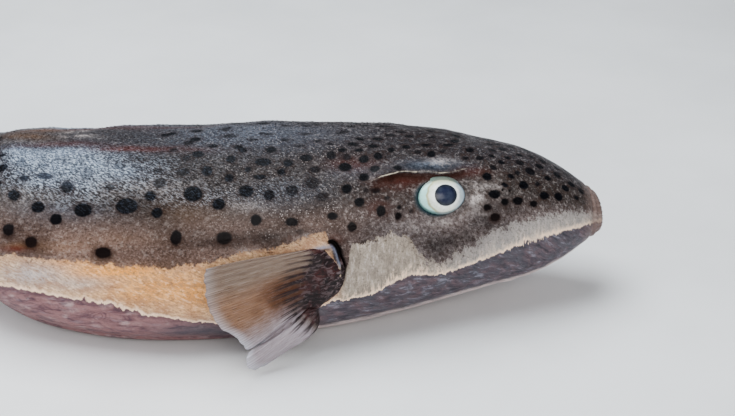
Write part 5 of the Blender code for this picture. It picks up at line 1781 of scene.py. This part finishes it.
def spinule_tree(material):
    """Geometry nodes that set small bent-back prickles on a skin where a mark is high."""
    tree = bpy.data.node_groups.new("spinules", "GeometryNodeTree")
    tree.is_modifier = True
    sockets = (
        ("Geometry", "Geometry"), ("Density", "Float"), ("Spacing", "Float"), ("Radius", "Float"),
        ("Length", "Float"), ("Mark", "String"), ("Seed", "Int"),
    )
    for socket, kind in sockets:
        tree.interface.new_socket(name=socket, in_out="INPUT", socket_type="NodeSocket" + kind)
    tree.interface.new_socket(name="Geometry", in_out="OUTPUT", socket_type="NodeSocketGeometry")
    make = Maker(tree)
    start, end = make.node("NodeGroupInput"), make.node("NodeGroupOutput")
    mark = make.node(
        "GeometryNodeInputNamedAttribute", {"Name": start.outputs["Mark"]}, data_type="FLOAT",
    )
    spread = make.node(
        "GeometryNodeDistributePointsOnFaces",
        {
            "Mesh": start.outputs["Geometry"],
            "Distance Min": start.outputs["Spacing"],
            "Density Max": start.outputs["Density"],
            "Density Factor": mark.outputs["Attribute"],
            "Seed": start.outputs["Seed"],
        },
        distribute_method="POISSON",
    )
    cone = make.node(
        "GeometryNodeMeshCone",
        {
            "Vertices": 4, "Side Segments": 1, "Radius Top": 0.0,
            "Radius Bottom": start.outputs["Radius"], "Depth": start.outputs["Length"],
        },
        fill_type="NGON",
    )
    position = make.node("GeometryNodeInputPosition").outputs[0]
    height = make.node("ShaderNodeSeparateXYZ", {"Vector": position}).outputs[2]
    share = make.node("ShaderNodeMath", operation="DIVIDE")
    make.feed(share.inputs[0], height)
    make.feed(share.inputs[1], start.outputs["Length"])
    tip = make.node(
        "GeometryNodeStoreNamedAttribute",
        {"Geometry": cone.outputs["Mesh"], "Name": "tip", "Value": share.outputs[0]},
        data_type="FLOAT",
    )
    lie = make.node("GeometryNodeInputNamedAttribute", {"Name": "lie"}, data_type="FLOAT_VECTOR")
    stray = make.node(
        "FunctionNodeRandomValue",
        {"Min": (-SPINULE_STRAY,) * 3, "Max": (SPINULE_STRAY,) * 3, "Seed": start.outputs["Seed"]},
        data_type="FLOAT_VECTOR",
    )
    way = make.node("ShaderNodeVectorMath", operation="ADD")
    make.feed(way.inputs[0], lie.outputs["Attribute"])
    make.feed(way.inputs[1], stray.outputs["Value"])
    turn = make.node("FunctionNodeAlignRotationToVector", {"Vector": way.outputs[0]}, axis="Z")
    size = make.node("FunctionNodeRandomValue", {"Seed": start.outputs["Seed"]}, data_type="FLOAT")
    size.inputs[2].default_value = 0.6
    size.inputs[3].default_value = 1.25
    placed = make.node(
        "GeometryNodeInstanceOnPoints",
        {
            "Points": spread.outputs["Points"], "Instance": tip.outputs["Geometry"],
            "Rotation": turn.outputs[0], "Scale": size.outputs[1],
        },
    )
    real = make.node("GeometryNodeRealizeInstances", {"Geometry": placed.outputs["Instances"]})
    smooth = make.node("GeometryNodeSetShadeSmooth", {"Geometry": real.outputs["Geometry"]})
    dressed = make.node(
        "GeometryNodeSetMaterial", {"Geometry": smooth.outputs["Geometry"], "Material": material},
    )
    make.feed(end.inputs[0], dressed.outputs["Geometry"])
    return tree


def make_spinules(name, skin, tree, mark, density, spacing, length, seed):
    """One coat of prickles as a plain mesh, each with its own small patch on the unwrap of the skin."""
    carrier = scene_object(name, skin.data)
    modifier = carrier.modifiers.new("spinules", "NODES")
    modifier.node_group = tree
    names = {item.name: item.identifier for item in tree.interface.items_tree if item.in_out == "INPUT"}
    for key, value in (
        ("Density", density), ("Spacing", spacing), ("Radius", SPINULE_RADIUS),
        ("Length", length), ("Mark", mark), ("Seed", seed),
    ):
        modifier[names[key]] = value
    bpy.context.view_layer.update()
    mesh = bpy.data.meshes.new_from_object(carrier.evaluated_get(bpy.context.evaluated_depsgraph_get()))
    carrier.modifiers.clear()
    carrier.data = mesh
    mesh.name = name
    count = len(mesh.vertices)
    spots = np.zeros(count * 3, np.float32)
    mesh.vertices.foreach_get("co", spots)
    spots[2::3] = np.maximum(spots[2::3], 0.0)
    mesh.vertices.foreach_set("co", spots)
    place = np.zeros(count * 3, np.float32)
    mesh.attributes["skin_place"].data.foreach_get("vector", place)
    way = np.zeros(count, np.float32)
    mesh.attributes["round_way"].data.foreach_get("value", way)
    corners = np.zeros(len(mesh.loops), np.int32)
    mesh.loops.foreach_get("vertex_index", corners)
    own = 2 * math.pi * (corners % 5) / 5
    unwrap = np.stack(
        (
            place.reshape(-1, 3)[corners, 0] / MAP_SPAN + MAP_MARGIN + PATCH_SIZE / 2 * np.cos(own),
            0.5 + way[corners] / MAP_SPAN + PATCH_SIZE / 2 * np.sin(own),
        ),
        axis=1,
    )
    layer = mesh.uv_layers.new(name="OFBake")
    layer.data.foreach_set("uv", unwrap.astype(np.float32).ravel())
    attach(carrier, "root")
    return carrier


# Floor, light and camera

FLOOR_PALE = (0.72, 0.73, 0.74, 1.0)
FLOOR_PALER = (0.78, 0.79, 0.80, 1.0)
# Lamps: name, place, width and depth, watts and colour
LIGHTS = (
    ("sky", (-0.25, 0.05, 1.25), (1.1, 0.8), 22.5, (0.93, 0.97, 1.0)),
    ("front", (0.55, -1.25, 0.75), (1.2, 0.8), 12.5, (1.0, 0.97, 0.93)),
    ("rim", (-1.0, -0.35, 0.6), (0.8, 0.6), 4.0, (0.95, 0.97, 1.0)),
)
LIGHT_TARGET = (0.05, 0.0, 0.05)
SKY_COLOUR, SKY_STRENGTH = (0.86, 0.92, 1.0, 1.0), 0.26


def make_floor():
    """Pale floor that curves up into a backdrop far behind."""
    width, front, rear, wall, radius = 3.0, -1.6, 2.4, 2.2, 0.6
    profile = [(front, 0.0), (rear - radius, 0.0)]
    for angle in np.linspace(0, math.pi / 2, 17)[1:]:
        profile.append((rear - radius + radius * math.sin(angle), radius - radius * math.cos(angle)))
    profile.append((rear, wall))
    points = [(x, y, z) for y, z in profile for x in (-width, width)]
    faces = [(2 * i, 2 * i + 1, 2 * i + 3, 2 * i + 2) for i in range(len(profile) - 1)]
    material, make, shader = new_material("floor")
    grain = make.grain(make.node("ShaderNodeTexCoord").outputs["Object"], 6.0, 4.0, 0.6)
    make.feed(
        shader.inputs["Base Color"], make.blend(make.span(grain, 0.3, 0.7), FLOOR_PALE, FLOOR_PALER),
    )
    make.feed(shader.inputs["Roughness"], make.span(grain, 0.3, 0.7, 0.6, 0.75))
    floor = mesh_object("floor", points, faces, material)


def make_lights():
    for name, place, (width, depth), watts, colour in LIGHTS:
        light = bpy.data.lights.new(name, "AREA")
        light.shape = "RECTANGLE"
        light.size, light.size_y = width, depth
        light.energy = watts
        light.color = colour
        obj = scene_object(name, light)
        obj.location = place
        obj.rotation_euler = (Vector(LIGHT_TARGET) - Vector(place)).to_track_quat("-Z", "Y").to_euler()
    world = bpy.data.worlds.new("studio")
    world.use_nodes = True
    background = world.node_tree.nodes["Background"]
    background.inputs["Color"].default_value = SKY_COLOUR
    background.inputs["Strength"].default_value = SKY_STRENGTH
    bpy.context.scene.world = world


def make_camera():
    camera = bpy.data.cameras.new("camera")
    camera.lens = CAMERA_LENS
    camera.sensor_width = CAMERA_SENSOR
    camera.clip_start, camera.clip_end = 0.01, 20.0
    obj = scene_object("camera", camera)
    obj.location = Vector(CAMERA_TARGET + CAMERA_BACK * CAMERA_DISTANCE)
    obj.rotation_euler = Vector(-CAMERA_BACK).to_track_quat("-Z", "Y").to_euler()
    bpy.context.scene.camera = obj


def main():
    bpy.context.scene.view_settings.look = "AgX - Medium High Contrast"
    make_camera()
    make_lights()
    make_floor()
    markings = skin_colour_group()
    skin, pectoral_root = make_skin(skin_material(markings))
    tree = spinule_tree(spinule_material(markings))
    make_spinules("spinules_back", skin, tree, "back_rough", *BACK_SPINULES, 5)
    make_spinules("spinules_belly", skin, tree, "belly_rough", *BELLY_SPINULES, 6)
    eyes = eye_material()
    make_eye(-1, "eyeball_right", "eye_right", eyes)
    make_eye(1, "eyeball_left", "eye_left", eyes)
    ivory = beak_material()
    make_beak(1, "beak_plates_upper", ivory)
    make_beak(-1, "beak_plates_lower", ivory)
    pectoral = pectoral_material()
    make_pectoral("pectoral_right", "pectoral_fin_right", -1, 1.0, 31, pectoral_root, pectoral)
    make_pectoral("pectoral_left", "pectoral_fin_left", 1, 0.35, 41, pectoral_root, pectoral)
    dusky = tail_fin_material("median_fin", 0.25, FIN_TAN)
    make_median_fin(
        "dorsal", "dorsal_fin", True, DORSAL_FROM, DORSAL_TO, DORSAL_RAYS,
        (0.066, 0.026), (30, 2), radians(4), 51, dusky,
    )
    pale_fin = tail_fin_material("anal_fin", 0.2, FIN_PINK)
    make_median_fin(
        "anal", "anal_fin", False, ANAL_FROM, ANAL_TO, ANAL_RAYS,
        (0.058, 0.022), (-17, 2), radians(5), 61, pale_fin,
    )
    make_caudal_fin("caudal", "caudal_fin", tail_fin_material("caudal_fin", 0.30, FIN_PINK, True))


main()
